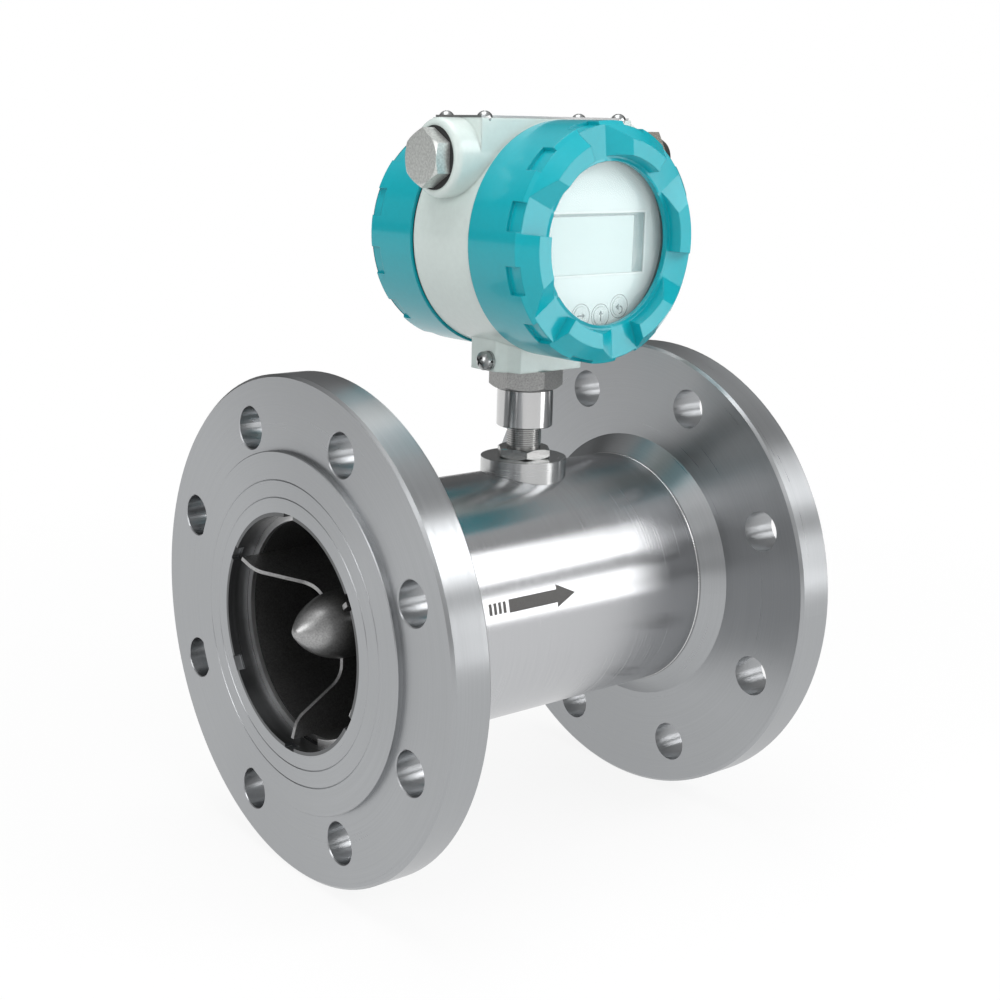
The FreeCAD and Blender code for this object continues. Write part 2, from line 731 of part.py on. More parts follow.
def nip_corners(body, name, face, flats, angle, outwards):
    """Turns a bevel on a hexagon's corners at one face; outwards is the face's own side."""
    reach = "%s / sqrt(3)" % flats
    nip = outline(body, name, "XY_Plane", [
        (face, "%s / 2" % flats),
        (face, reach + " + 1"),
        ("%s %s (%s + 1 - %s / 2) * tan(%s * 1 deg)" % (face, outwards, reach, flats, angle), reach + " + 1"),
    ])
    turned(body, "Groove", nip)


def make_lock_nut():
    """A thin hexagon nut, bevelled on both faces, that locks the pickup in its boss."""
    body = stem_body("pickup_lock_nut", Rotation(Vector(1, 0, 0), size("lock_nut_turn")))
    head = hexagon(body, "Hexagon", "YZ_Plane", "Size.lock_nut_flats", BOSS_TOP)
    pad(body, head, "Size.lock_nut_height")
    nip_corners(body, "LowCorners", BOSS_TOP, "Size.lock_nut_flats", "Size.corner_bevel", "+")
    nip_corners(body, "HighCorners", BOSS_TOP + " + Size.lock_nut_height", "Size.lock_nut_flats",
                "Size.corner_bevel", "-")
    bore = circles(body, "Bore", "YZ_Plane", "Size.pickup_od + 2 * Size.thread_play",
                   lift=BOSS_TOP)
    pocket(body, bore, "Size.lock_nut_height", reverse=True)
    return body


def make_sleeve():
    """The polished sleeve on the pickup's tube, with the spigot that the head turns on."""
    body = stem_body("stem_sleeve")
    groove = STUB_TOP + " + Size.swivel_gap"
    top = groove + " + Size.stem_clip_thick + Size.spigot_over"
    wall = outline(body, "Wall", "XY_Plane", [
        (SLEEVE_BOTTOM, "Size.pickup_od / 2 + Size.thread_play"),
        (SLEEVE_BOTTOM, "Size.sleeve_od / 2 - Size.sleeve_bevel"),
        (SLEEVE_BOTTOM + " + Size.sleeve_bevel", "Size.sleeve_od / 2"),
        (SLEEVE_TOP + " - Size.sleeve_bevel", "Size.sleeve_od / 2"),
        (SLEEVE_TOP, "Size.sleeve_od / 2 - Size.sleeve_bevel"),
        (SLEEVE_TOP, "Size.spigot_od / 2"),
        (groove, "Size.spigot_od / 2"),
        (groove, "Size.stem_groove_od / 2"),
        (groove + " + Size.stem_clip_thick", "Size.stem_groove_od / 2"),
        (groove + " + Size.stem_clip_thick", "Size.spigot_od / 2"),
        (top, "Size.spigot_od / 2"),
        (top, "Size.wire_bore / 2"),
        (PICKUP_TOP + " + Size.swivel_gap", "Size.wire_bore / 2"),
        (PICKUP_TOP + " + Size.swivel_gap", "Size.pickup_od / 2 + Size.thread_play"),
    ])
    turned(body, "Revolution", wall)
    return body


def make_stem_clip():
    """The clip that keeps the head on its spigot."""
    body = stem_body("stem_clip")
    start = STUB_TOP + " + Size.swivel_gap"
    wall = rectangle(body, "Wall", "XY_Plane", (start, "Size.stem_groove_od / 2"),
                     (start + " + Size.stem_clip_thick", "Size.stem_clip_od / 2"))
    turned(body, "Revolution", wall)
    return body


def make_adapter():
    """The hexagon adapter under the head, with a stub that screws into the housing."""
    body = stem_body("stem_adapter", Rotation(Vector(1, 0, 0), size("adapter_turn")))
    bottom = ADAPTER_BOTTOM
    seat = FOOT_SEAT
    head = hexagon(body, "Hexagon", "YZ_Plane", "Size.adapter_flats", bottom)
    pad(body, head, "Size.adapter_height")
    stub = circles(body, "Stub", "YZ_Plane", "Size.adapter_stub_od", lift=seat)
    pad(body, stub, "Size.adapter_stub")
    nip_corners(body, "Corners", bottom, "Size.adapter_flats", "Size.corner_bevel", "+")
    bore = circles(body, "Bore", "YZ_Plane", "Size.spigot_od + 2 * Size.thread_play",
                   lift=bottom)
    pocket(body, bore, "Size.adapter_height + Size.adapter_stub", reverse=True)
    return body


# ------------------------------------------------------------------ converter housing

def make_housing():
    """A drum with a threaded neck at each end, two conduit entries, a platform and a foot."""
    body = head_body("housing")
    drum = outline(body, "Drum", "XY_Plane", [
        ("0", "-Size.neck_front"),
        ("Size.neck_od / 2", "-Size.neck_front"),
        ("Size.neck_od / 2", "-Size.drum_front"),
        (DRUM_OD + " / 2 - Size.drum_bevel", "-Size.drum_front"),
        (DRUM_OD + " / 2", "-Size.drum_front + Size.drum_bevel"),
        (DRUM_OD + " / 2", "Size.drum_rear - Size.drum_bevel"),
        (DRUM_OD + " / 2 - Size.drum_bevel", "Size.drum_rear"),
        ("Size.neck_od / 2", "Size.drum_rear"),
        ("Size.neck_od / 2", "Size.neck_rear"),
        ("0", "Size.neck_rear"),
    ])
    turned(body, "Revolution", drum, axis="V_Axis")
    entry = (("0", ENTRY_HEIGHT),)
    tube = circles(body, "Entries", "YZ_Plane", "Size.entry_od", entry)
    bar = pad(body, tube, "2 * " + ENTRY_REACH, middle=True)

    def lip(edge):
        curve = edge.Curve
        if not isinstance(curve, Part.Circle):
            return False
        return (abs(abs(curve.Center.x) - worth(ENTRY_REACH)) < 0.01
                and abs(curve.Radius - size("entry_od") / 2) < 0.01)
    lips = dress(body, "Fillet", bar, edges_where(bar, lip), "Size.entry_lip")
    half = "Size.tag_half + Size.tag_end_edge"
    deck = rectangle(body, "Platform", "XZ_Plane", ("-(%s)" % half, ENTRY_HEIGHT),
                     (half, PLATFORM_TOP))
    pad(body, deck, "2 * (Size.tag_deep + Size.tag_side_edge)", middle=True)
    foot = outline(body, "Foot", "XY_Plane", [
        ("Size.base_half", "-Size.base_deep"),
        ("Size.base_half", "Size.base_deep"),
        ("-Size.base_half", "Size.base_deep"),
        ("-Size.base_half", "-Size.base_deep + Size.base_notch"),
        ("-Size.base_half + Size.base_notch * 0.385", "-Size.base_deep + Size.base_notch * 0.6"),
        ("-Size.base_half + Size.base_notch * 0.57", "-Size.base_deep"),
    ], "-" + BASE_DROP)
    block = pad(body, foot, "Size.base_fall + Size.base_sink")

    def square_corner(edge):
        box = edge.BoundBox
        low = box.ZMin < 0.01 - worth(BASE_DROP) and box.XLength < 0.01 and box.YLength < 0.01
        place = (round(abs(box.XMin), 3), round(abs(box.YMin), 3))
        notched = box.XMin < 0 and box.YMin < 0
        return low and not notched and place == (size("base_half"), size("base_deep"))
    dress(body, "Fillet", block, edges_where(block, square_corner), "Size.base_round")
    front = circles(body, "FrontChamber", "XZ_Plane", CHAMBER_OD, lift="Size.neck_front")
    pocket(body, front, "Size.neck_front - Size.wall_front")
    rear = circles(body, "RearChamber", "XZ_Plane", CHAMBER_OD, lift="-Size.neck_rear")
    pocket(body, rear, "Size.neck_rear + Size.wall_rear", reverse=True)
    bores = circles(body, "EntryBores", "YZ_Plane", "Size.entry_bore", entry)
    pocket(body, bores, "2 * " + ENTRY_REACH + " + 2", middle=True)
    for name, side, reverse in (("RecessLeft", "-", True), ("RecessRight", "", False)):
        recess = circles(body, name, "YZ_Plane", "Size.entry_recess_od", entry,
                         side + ENTRY_REACH)
        pocket(body, recess, "Size.entry_recess", reverse=reverse)
    socket = circles(body, "StemSocket", "XY_Plane", "Size.adapter_stub_od + 2 * Size.thread_play",
                     lift="-" + BASE_DROP)
    pocket(body, socket, BASE_DROP + " - %s / 2 + 4" % CHAMBER_OD, reverse=True)
    taps = circles(body, "TagTaps", "XY_Plane", "Size.tag_shank_od + 2 * Size.fitting_play",
                   tag_places(), PLATFORM_TOP)
    pocket(body, taps, "Size.tag_shank_length + 0.5")
    earth = circles(body, "EarthTap", "YZ_Plane", "Size.earth_shank_od + 2 * Size.fitting_play",
                    (("-Size.earth_side", "Size.earth_rise - " + BASE_DROP),), "-Size.base_half")
    pocket(body, earth, "Size.earth_shank_length + 0.5", reverse=True)
    return body


def tag_places():
    """The four corners where the name plate is screwed down."""
    return [("%s(Size.tag_half - Size.tag_screw_end)" % across,
             "%s(Size.tag_deep - Size.tag_screw_side)" % along)
            for across in ("-", "") for along in ("-", "")]


# ------------------------------------------------------------------ covers and window

def make_cover(label, turn, depth_add, seat, windowed):
    """A screwed cover with ratchet-shaped grip lugs round its face and a notched skirt."""
    phase = Rotation(Vector(1, 0, 0), size("lug_phase"))
    body = head_body(label, turn * phase)
    face = "Size.cover_face + %s" % depth_add
    outer = COVER_OD + " / 2"
    inner = "Size.neck_od / 2 + Size.cover_clear"
    start = "%s + Size.cover_gap" % seat
    foot_in = "Size.window_od / 2 + Size.lug_inner_margin"
    foot_out = outer + " - Size.lug_outer_margin"
    corners = [
        (start, inner),
        (start, outer),
        (face + " - Size.cover_edge", outer),
        (face, foot_out),
    ]
    if windowed:
        corners += [
            (face, "Size.window_od / 2 + 1.2"),
            ("Size.window_edge", "Size.window_od / 2"),
            ("Size.window_seat", "Size.window_od / 2"),
            ("Size.window_seat", GLASS_OD + " / 2 + Size.glass_play"),
            (GLASS_BACK + " + Size.glass_play", GLASS_OD + " / 2 + Size.glass_play"),
            (GLASS_BACK + " + Size.glass_play", RING_OD + " / 2 + Size.ring_play"),
            (GLASS_BACK + " - Size.ring_thick - Size.ring_run", RING_OD + " / 2 + Size.ring_play"),
            (GLASS_BACK + " - Size.ring_thick - Size.ring_run", inner),
        ]
    else:
        corners += [(face, "0"), (face + " - Size.cover_wall", "0"),
                    (face + " - Size.cover_wall", inner)]
    shell = outline(body, "Shell", "XY_Plane", corners)
    turned(body, "Revolution", shell)
    crest = "Size.lug_face + %s" % depth_add
    section = outline(body, "LugSection", "XY_Plane", [
        (face + " - 1", foot_in),
        (face, foot_in),
        (crest, foot_in + " + Size.lug_inner_lean"),
        (crest, foot_out + " - Size.lug_outer_lean"),
        (face, foot_out),
        (face + " - 1", foot_out),
    ])
    lug = turned(body, "Revolution", section, angle="Size.lug_angle", reverse=True)
    ramp = outline(body, "Ramp", "XZ_Plane", [
        (face, "0"),
        (crest, "-Size.lug_ramp"),
        (crest + " + 1", "-Size.lug_ramp"),
        (crest + " + 1", "1"),
        (face, "1"),
    ])
    wedge = pocket(body, ramp, outer)
    around(body, [lug, wedge], shell, "Size.lug_count", "Lugs")
    bite = rectangle(body, "SkirtNotch", "XY_Plane",
                     (face + " - Size.notch_length", outer + " - Size.notch_depth"),
                     (face + " - 0.2", outer + " + 1"))
    bite.AttachmentOffset = Placement(Vector(), Rotation(Vector(1, 0, 0), -size("notch_offset")))
    notch = turned(body, "Groove", bite, angle="Size.notch_angle", middle=True)
    around(body, [notch], shell, "Size.notch_count", "Notches")
    return body


def make_seal(label, turn, seat):
    """The sealing ring between a cover's skirt and the drum's shoulder."""
    body = head_body(label, turn)
    wall = rectangle(body, "Wall", "XY_Plane",
                     ("%s + Size.seal_play" % seat, "Size.neck_od / 2 + Size.cover_clear"),
                     ("%s + Size.cover_gap - Size.seal_play" % seat, DRUM_OD + " / 2 - Size.seal_inset"))
    turned(body, "Revolution", wall)
    return body


def make_window():
    """The glass, the gasket in front of it and the threaded ring behind it."""
    front = "Size.window_seat - Size.gasket_thick"
    gasket = head_body("window_gasket", FRONT)
    flat = rectangle(gasket, "Flat", "XY_Plane", (front, "Size.window_od / 2 + Size.gasket_inset"),
                     ("Size.window_seat", GLASS_OD + " / 2"))
    turned(gasket, "Revolution", flat)
    glass = head_body("window_glass", FRONT)
    disc = circles(glass, "Disc", "YZ_Plane", GLASS_OD, lift=GLASS_BACK)
    pad(glass, disc, "Size.glass_thick")
    ring = head_body("window_ring", FRONT)
    wall = rectangle(ring, "Wall", "XY_Plane",
                     (GLASS_BACK + " - Size.ring_thick", RING_OD + " / 2 - Size.ring_wall"),
                     (GLASS_BACK, RING_OD + " / 2"))
    turned(ring, "Revolution", wall)
    return [gasket, glass, ring]


# ------------------------------------------------------------------ display stack

def key_angle(number):
    """The angle of a key round the plate, from straight down towards +X, as an expression."""
    return "(%d * Size.key_pitch - Size.key_first) * 1 deg" % number


def key_places():
    """Centres of the keys in the plate's plane."""
    return [(KEY_CIRCLE + " * sin(%s)" % key_angle(n), "-" + KEY_CIRCLE + " * cos(%s)" % key_angle(n))
            for n in range(int(size("key_count")))]


def corner_places():
    """The four places where spacers and pillars stand."""
    return [("%s%s * cos(Size.spacer_angle * 1 deg)" % (across, SPACER_CIRCLE),
             "%s%s * sin(Size.spacer_angle * 1 deg)" % (along, SPACER_CIRCLE))
            for across in ("-", "") for along in ("-", "")]


def make_faceplate():
    """The round display plate with its view opening and the key holes."""
    body = head_body("display_plate", FRONT)
    back = "Size.plate_front - Size.plate_thick"
    disc = circles(body, "Disc", "YZ_Plane", PLATE_OD, lift=back)
    pad(body, disc, "Size.plate_thick")
    half = "Size.view_width / 2"
    view = rectangle(body, "View", "YZ_Plane",
                     ("-" + half, "-Size.view_drop - Size.view_height / 2"),
                     (half, "-Size.view_drop + Size.view_height / 2"), back)
    pocket(body, view, "Size.plate_thick", reverse=True)
    holes = circles(body, "KeyHoles", "YZ_Plane", "Size.key_od + 2 * Size.key_play",
                    key_places(), back)
    pocket(body, holes, "Size.plate_thick", reverse=True)
    return body


def make_lcd():
    """The liquid crystal glass in the view opening and its module behind the plate."""
    glass = head_body("lcd_glass", FRONT)
    back = "Size.plate_front - Size.plate_thick"
    half = "Size.view_width / 2 - Size.lcd_play"
    tall = "Size.view_height / 2 - Size.lcd_play"
    pane = rectangle(glass, "Pane", "YZ_Plane", ("-(%s)" % half, "-Size.view_drop - (%s)" % tall),
                     (half, "-Size.view_drop + (%s)" % tall), back)
    pad(glass, pane, "Size.plate_thick - Size.lcd_recess")
    module = head_body("lcd_module", FRONT)
    frame = rectangle(module, "Frame", "YZ_Plane",
                      ("-Size.module_width / 2", "-Size.view_drop - Size.module_height / 2"),
                      ("Size.module_width / 2", "-Size.view_drop + Size.module_height / 2"),
                      back + " - Size.module_thick")
    pad(module, frame, "Size.module_thick")
    return [glass, module]


def make_key(number):
    """One key: a cap through the plate, a flange behind it and a plunger to its switch."""
    angle = key_angle(number)
    body = new_body("key_%d" % (number + 1), FRONT,
                    x="Size.stem_place + " + KEY_CIRCLE + " * sin(%s)" % angle,
                    z=HEAD_HEIGHT + " - " + KEY_CIRCLE + " * cos(%s)" % angle)
    back = "Size.plate_front - Size.plate_thick - Size.key_back_gap"
    plunger_end = "Size.board_front + Size.switch_height + Size.key_travel + Size.key_back_gap"
    profile = outline(body, "Profile", "XY_Plane", [
        (plunger_end, "0"),
        (plunger_end, "Size.key_plunger_od / 2"),
        (back + " - Size.key_flange_thick", "Size.key_plunger_od / 2"),
        (back + " - Size.key_flange_thick", "Size.key_flange_od / 2"),
        (back, "Size.key_flange_od / 2"),
        (back, "Size.key_od / 2"),
        ("Size.plate_front + Size.key_proud", "Size.key_od / 2"),
        ("Size.plate_front + Size.key_proud", "0"),
    ])
    turned(body, "Revolution", profile)
    return body


def make_switches():
    """The key switches on the display board, one behind each key."""
    body = head_body("key_switches", FRONT)
    half = "Size.switch_size / 2"
    for number, (across, along) in enumerate(key_places()):
        square = rectangle(body, "Switch%d" % number, "YZ_Plane",
                           ("%s - %s" % (across, half), "%s - %s" % (along, half)),
                           ("%s + %s" % (across, half), "%s + %s" % (along, half)),
                           "Size.board_front")
        pad(body, square, "Size.switch_height")
    return body


def make_board(label, front, turn=FRONT, holed=False):
    """A round circuit board; the main board is drilled for the pillars."""
    body = head_body(label, turn)
    disc = circles(body, "Disc", "YZ_Plane", BOARD_OD, lift="%s - Size.board_thick" % front)
    pad(body, disc, "Size.board_thick")
    if holed:
        holes = circles(body, "PillarHoles", "YZ_Plane", "Size.pillar_od + 2 * Size.fitting_play",
                        corner_places(), "%s - Size.board_thick" % front)
        pocket(body, holes, "Size.board_thick", reverse=True)
        half = "Size.chip_size / 2"
        for number, place in enumerate(("-Size.chip_size", "Size.chip_size")):
            chip = rectangle(body, "Chip%d" % number, "YZ_Plane", ("%s - %s" % (place, half), "-" + half),
                             ("%s + %s" % (place, half), half), front)
            pad(body, chip, "Size.chip_height")
    return body


def make_posts(label, diameter, start, end):
    """Four round posts at the corners of the display stack."""
    body = head_body(label, FRONT)
    rounds = circles(body, "Rounds", "YZ_Plane", diameter, corner_places(), start)
    pad(body, rounds, "%s - (%s)" % (end, start))
    return body


# ------------------------------------------------------------------ terminals

def make_terminals():
    """The stepped terminal block on the wall of the rear chamber, and its clamp screws."""
    block = head_body("terminal_block")
    half = "Size.terminal_height / 2"
    step = outline(block, "Section", "YZ_Plane", [
        ("-Size.wall_rear", "-Size.terminal_drop - " + half),
        ("-Size.wall_rear + Size.terminal_deep", "-Size.terminal_drop - " + half),
        ("-Size.wall_rear + Size.terminal_deep", "-Size.terminal_drop + %s - Size.terminal_step" % half),
        ("-Size.wall_rear + Size.terminal_deep - Size.terminal_step",
         "-Size.terminal_drop + %s - Size.terminal_step" % half),
        ("-Size.wall_rear + Size.terminal_deep - Size.terminal_step", "-Size.terminal_drop + " + half),
        ("-Size.wall_rear", "-Size.terminal_drop + " + half),
    ])
    pad(block, step, "Size.terminal_width", middle=True)
    height = "-Size.terminal_drop - Size.terminal_step / 2"
    middle = (int(size("terminal_count")) - 1) / 2
    places = [("%g * Size.terminal_pitch" % (n - middle), height)
              for n in range(int(size("terminal_count")))]
    face = "Size.wall_rear - Size.terminal_deep"
    wells = circles(block, "Wells", "XZ_Plane", "Size.terminal_screw_od + 2 * Size.fitting_play",
                    places, face)
    pocket(block, wells, "Size.terminal_deep * 0.6", reverse=True)
    screws = head_body("terminal_screws")
    rounds = circles(screws, "Rounds", "XZ_Plane", "Size.terminal_screw_od", places,
                     face + " + Size.terminal_screw_inset")
    pad(screws, rounds, "Size.terminal_deep * 0.6 - 2 * Size.terminal_screw_inset")
    return [block, screws]


# ------------------------------------------------------------------ name plate, earth screw

def make_tag():
    """The bare name plate on the platform and its four pan-head screws."""
    plate = head_body("top_plate")
    sheet_metal = rectangle(plate, "Sheet", "XY_Plane", ("-Size.tag_half", "-Size.tag_deep"),
                            ("Size.tag_half", "Size.tag_deep"), PLATFORM_TOP)
    pad(plate, sheet_metal, "Size.tag_thick")
    holes = circles(plate, "Holes", "XY_Plane", "Size.tag_shank_od + 2 * Size.fitting_play",
                    tag_places(), PLATFORM_TOP)
    pocket(plate, holes, "Size.tag_thick", reverse=True)
    screws = head_body("top_plate_screws")
    seat = PLATFORM_TOP + " + Size.tag_thick"
    heads = circles(screws, "Heads", "XY_Plane", "Size.tag_head_od", tag_places(), seat)
    head = pad(screws, heads, "Size.tag_head_height")
    crown = worth(PLATFORM_TOP + " + Size.tag_thick + Size.tag_head_height")

    def rim(edge):
        return isinstance(edge.Curve, Part.Circle) and abs(edge.Curve.Center.z - crown) < 0.01
    dress(screws, "Fillet", head, edges_where(head, rim), "Size.tag_head_height * 0.6")
    shanks = circles(screws, "Shanks", "XY_Plane", "Size.tag_shank_od", tag_places(), seat)
    pad(screws, shanks, "Size.tag_thick + Size.tag_shank_length", reverse=True)
    return [plate, screws]


def make_earth():
    """The earth screw on the foot's side, with its flat washer and spring washer."""
    def side_body(label):
        return new_body(label, LEFT, x="Size.stem_place - Size.base_half",
                        y="-Size.earth_side", z=FOOT_SEAT + " + Size.earth_rise")
    washer = side_body("earth_washer")
    flat = rectangle(washer, "Wall", "XY_Plane", ("0", "Size.earth_shank_od / 2 + Size.fitting_play"),
                     ("Size.earth_washer_thick", "Size.earth_washer_od / 2"))
    turned(washer, "Revolution", flat)
    spring = side_body("earth_spring_washer")
    seat = "Size.earth_washer_thick + Size.earth_spring_thick"
    coil = rectangle(spring, "Wall", "XY_Plane",
                     ("Size.earth_washer_thick", "Size.earth_shank_od / 2 + Size.fitting_play"),
                     (seat, "Size.earth_spring_od / 2"))
    turned(spring, "Revolution", coil)
    slit = rectangle(spring, "Slit", "XY_Plane", ("0", "0"), (seat, "Size.earth_spring_od"))
    pocket(spring, slit, "Size.slot_width", middle=True)
    screw = side_body("earth_screw")
    top = seat + " + Size.earth_head_height"
    profile = outline(screw, "Profile", "XY_Plane", [
        ("-Size.earth_shank_length", "0"),
        ("-Size.earth_shank_length", "Size.earth_shank_od / 2"),
        (seat, "Size.earth_shank_od / 2"),
        (seat, "Size.earth_head_od / 2"),
        (top + " - Size.earth_head_height * 0.5", "Size.earth_head_od / 2"),
        (top, "Size.earth_head_od * 0.3"),
        (top, "0"),
    ])
    turned(screw, "Revolution", profile)
    for name, long, short in (("Upright", "Size.slot_width / 2", "Size.earth_head_od * 0.28"),
                              ("Level", "Size.earth_head_od * 0.28", "Size.slot_width / 2")):
        cross = rectangle(screw, name, "YZ_Plane", ("-(%s)" % long, "-(%s)" % short), (long, short), top)
        pocket(screw, cross, "Size.earth_head_height * 0.5")
    return [washer, spring, screw]


# ------------------------------------------------------------------ plug and cable gland

def entry_body(label, turn=Rotation()):
    """A body on the conduit entries' axis, with the stem's axis at local x of zero."""
    return new_body(label, turn, x="Size.stem_place", z=HEAD_HEIGHT + " + " + ENTRY_HEIGHT)


def make_entry_gasket(label, turn):
    """A flat gasket in the recess of a conduit entry."""
    body = entry_body(label, turn)
    flat = rectangle(body, "Flat", "XY_Plane",
                     (ENTRY_REACH + " - Size.entry_recess", "Size.entry_bore / 2 + Size.fitting_play"),
                     (ENTRY_REACH, "Size.entry_recess_od / 2 - Size.fitting_play"))
    turned(body, "Revolution", flat)
    return body


def make_plug():
    """The hexagon blanking plug in the inlet-side entry."""
    body = entry_body("blanking_plug", LEFT)
    reach = "Size.plug_flats / sqrt(3)"
    corners = [("%s * sin(%d deg)" % (reach, angle), "%s * cos(%d deg)" % (reach, angle))
               for angle in range(0, 360, 60)]
    hexagon_up = outline(body, "HexagonHead", "YZ_Plane", corners, ENTRY_REACH)
    pad(body, hexagon_up, "Size.plug_head")
    nip_corners(body, "Corners", ENTRY_REACH + " + Size.plug_head", "Size.plug_flats",
                "Size.plug_bevel", "-")
    stub = circles(body, "Stub", "YZ_Plane", "Size.entry_bore - 2 * Size.fitting_play",
                   lift=ENTRY_REACH)
    pad(body, stub, "Size.plug_stub", reverse=True)
    return body


def make_gland():
    """The cable gland in the outlet-side entry: body, clamping nut and rubber seal, no cable."""
    body = entry_body("gland_body")
    seat = ENTRY_REACH
    flange_end = seat + " + Size.gland_flange"
    neck_end = flange_end + " + Size.gland_neck"
    flange = hexagon(body, "Hexagon", "YZ_Plane", "Size.gland_flats", seat)
    pad(body, flange, "Size.gland_flange")
    stub = circles(body, "Stub", "YZ_Plane", "Size.entry_bore - 2 * Size.fitting_play", lift=seat)
    pad(body, stub, "Size.plug_stub", reverse=True)
    neck = circles(body, "Neck", "YZ_Plane", "Size.gland_neck_od", lift=flange_end)
    pad(body, neck, "Size.gland_neck")
    bore = circles(body, "Bore", "YZ_Plane", "Size.gland_seal_od + 2 * Size.fitting_play",
                   lift=ENTRY_REACH + " - Size.plug_stub")
    pocket(body, bore, "Size.plug_stub + Size.gland_flange + Size.gland_neck", reverse=True)
    nut = entry_body("gland_nut")
    start = flange_end + " + Size.gland_gap"
    end = start + " + Size.gland_nut_length"
    outside = hexagon(nut, "Hexagon", "YZ_Plane", "Size.gland_flats", start)
    pad(nut, outside, "Size.gland_nut_length")
    cavity = outline(nut, "Cavity", "XY_Plane", [
        (start, "0"),
        (start, "Size.gland_neck_od / 2 + Size.fitting_play"),
        (neck_end, "Size.gland_neck_od / 2 + Size.fitting_play"),
        (neck_end + " + Size.gland_gap", "Size.gland_seal_od / 2 + Size.fitting_play"),
        (end + " - Size.gland_nut_wall", "Size.gland_seal_od / 2 + Size.fitting_play"),
        (end + " - Size.gland_nut_wall", "Size.gland_mouth / 2"),
        (end, "Size.gland_mouth / 2"),
        (end, "0"),
    ])
    turned(nut, "Groove", cavity)
    dome = outline(nut, "Dome", "XY_Plane", [
        (end + " - Size.gland_nut_length * 0.4", "Size.gland_flats / 2"),
        (end + " - Size.gland_nut_length * 0.4", "Size.gland_flats"),
        (end, "Size.gland_flats"),
        (end, "Size.gland_flats * 0.36"),
    ])
    turned(nut, "Groove", dome)
    seal = entry_body("gland_seal")
    ring = rectangle(seal, "Wall", "XY_Plane", (flange_end, "Size.gland_bore / 2"),
                     (neck_end + " + Size.gland_gap * 2", "Size.gland_seal_od / 2"))
    turned(seal, "Revolution", ring)
    return [body, nut, seal]


bodies = [
    make_flange("inlet_flange", Rotation(), "0"),
    make_flange("outlet_flange", LEFT, "Size.face_to_face"),
    make_tube(),
    make_guide("inlet_guide", Rotation(), "0"),
    make_guide("outlet_guide", LEFT, "Size.face_to_face"),
    make_clip("inlet_clip", Rotation(), "0"),
    make_clip("outlet_clip", LEFT, "Size.face_to_face"),
    make_rotor(),
    make_shaft(),
    make_bearing("inlet_bearing", LEFT),
    make_bearing("outlet_bearing", Rotation()),
    make_thrust("inlet_thrust_pad", LEFT),
    make_thrust("outlet_thrust_pad", Rotation()),
    make_boss(),
    make_pickup(),
    make_coil(),
    make_magnet(),
    make_lock_nut(),
    make_sleeve(),
    make_stem_clip(),
    make_adapter(),
    make_housing(),
    make_cover("front_cover", FRONT, "0", "Size.drum_front", True),
    make_cover("rear_cover", REAR, "Size.cover_rear_add", "Size.drum_rear", False),
    make_seal("front_cover_seal", FRONT, "Size.drum_front"),
    make_seal("rear_cover_seal", REAR, "Size.drum_rear"),
    *make_window(),
    make_faceplate(),
    *make_lcd(),
    *[make_key(number) for number in range(int(size("key_count")))],
    make_switches(),
    make_board("display_board", "Size.board_front"),
    make_board("main_board", "Size.main_board_front", holed=True),
    make_posts("display_spacers", "Size.spacer_od", "Size.board_front",
               "Size.plate_front - Size.plate_thick"),
    make_posts("board_pillars", "Size.pillar_od", "Size.wall_front",
               "Size.board_front - Size.board_thick"),
    *make_terminals(),
    *make_tag(),
    *make_earth(),
    make_entry_gasket("plug_gasket", LEFT),
    make_entry_gasket("gland_gasket", Rotation()),
    make_plug(),
    *make_gland(),
]

doc.recompute()
faults = [item.Name for item in doc.Objects if set(item.State) & {"Invalid", "Error"}]
for body in bodies:
    if body.Shape.isNull() or not body.Shape.isValid():
        faults.append(body.Label + " shape")
if faults:
    raise SystemExit("failed: " + ", ".join(faults))
for body in bodies:
    body.Shape.exportStep("parts/%s.step" % body.Label)
    print("%-22s solids %d volume %.1f" % (body.Label, len(body.Shape.Solids), body.Shape.Volume))
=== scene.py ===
import math

import bmesh
import bpy
from mathutils import Matrix, Vector


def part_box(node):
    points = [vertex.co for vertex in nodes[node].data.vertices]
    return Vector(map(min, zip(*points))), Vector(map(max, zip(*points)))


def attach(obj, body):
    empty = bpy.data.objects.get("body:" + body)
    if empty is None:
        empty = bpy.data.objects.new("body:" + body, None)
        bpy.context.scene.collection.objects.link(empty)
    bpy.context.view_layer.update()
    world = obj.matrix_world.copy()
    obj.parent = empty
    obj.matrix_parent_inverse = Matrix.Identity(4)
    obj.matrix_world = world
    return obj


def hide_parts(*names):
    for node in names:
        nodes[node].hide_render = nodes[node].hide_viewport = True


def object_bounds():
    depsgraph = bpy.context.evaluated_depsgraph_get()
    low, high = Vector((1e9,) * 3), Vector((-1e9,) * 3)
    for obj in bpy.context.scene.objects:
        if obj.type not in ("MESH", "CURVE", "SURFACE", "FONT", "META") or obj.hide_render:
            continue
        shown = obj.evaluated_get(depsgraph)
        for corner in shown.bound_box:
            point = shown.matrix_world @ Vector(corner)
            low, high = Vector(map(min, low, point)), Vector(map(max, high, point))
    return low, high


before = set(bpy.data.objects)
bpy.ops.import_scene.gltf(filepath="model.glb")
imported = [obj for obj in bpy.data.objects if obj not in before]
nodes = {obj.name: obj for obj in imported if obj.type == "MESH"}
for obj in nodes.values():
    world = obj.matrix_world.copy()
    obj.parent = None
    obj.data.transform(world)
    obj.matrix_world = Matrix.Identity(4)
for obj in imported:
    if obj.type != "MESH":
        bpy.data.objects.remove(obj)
cad_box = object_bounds()
scene = bpy.context.scene
MM = 0.001

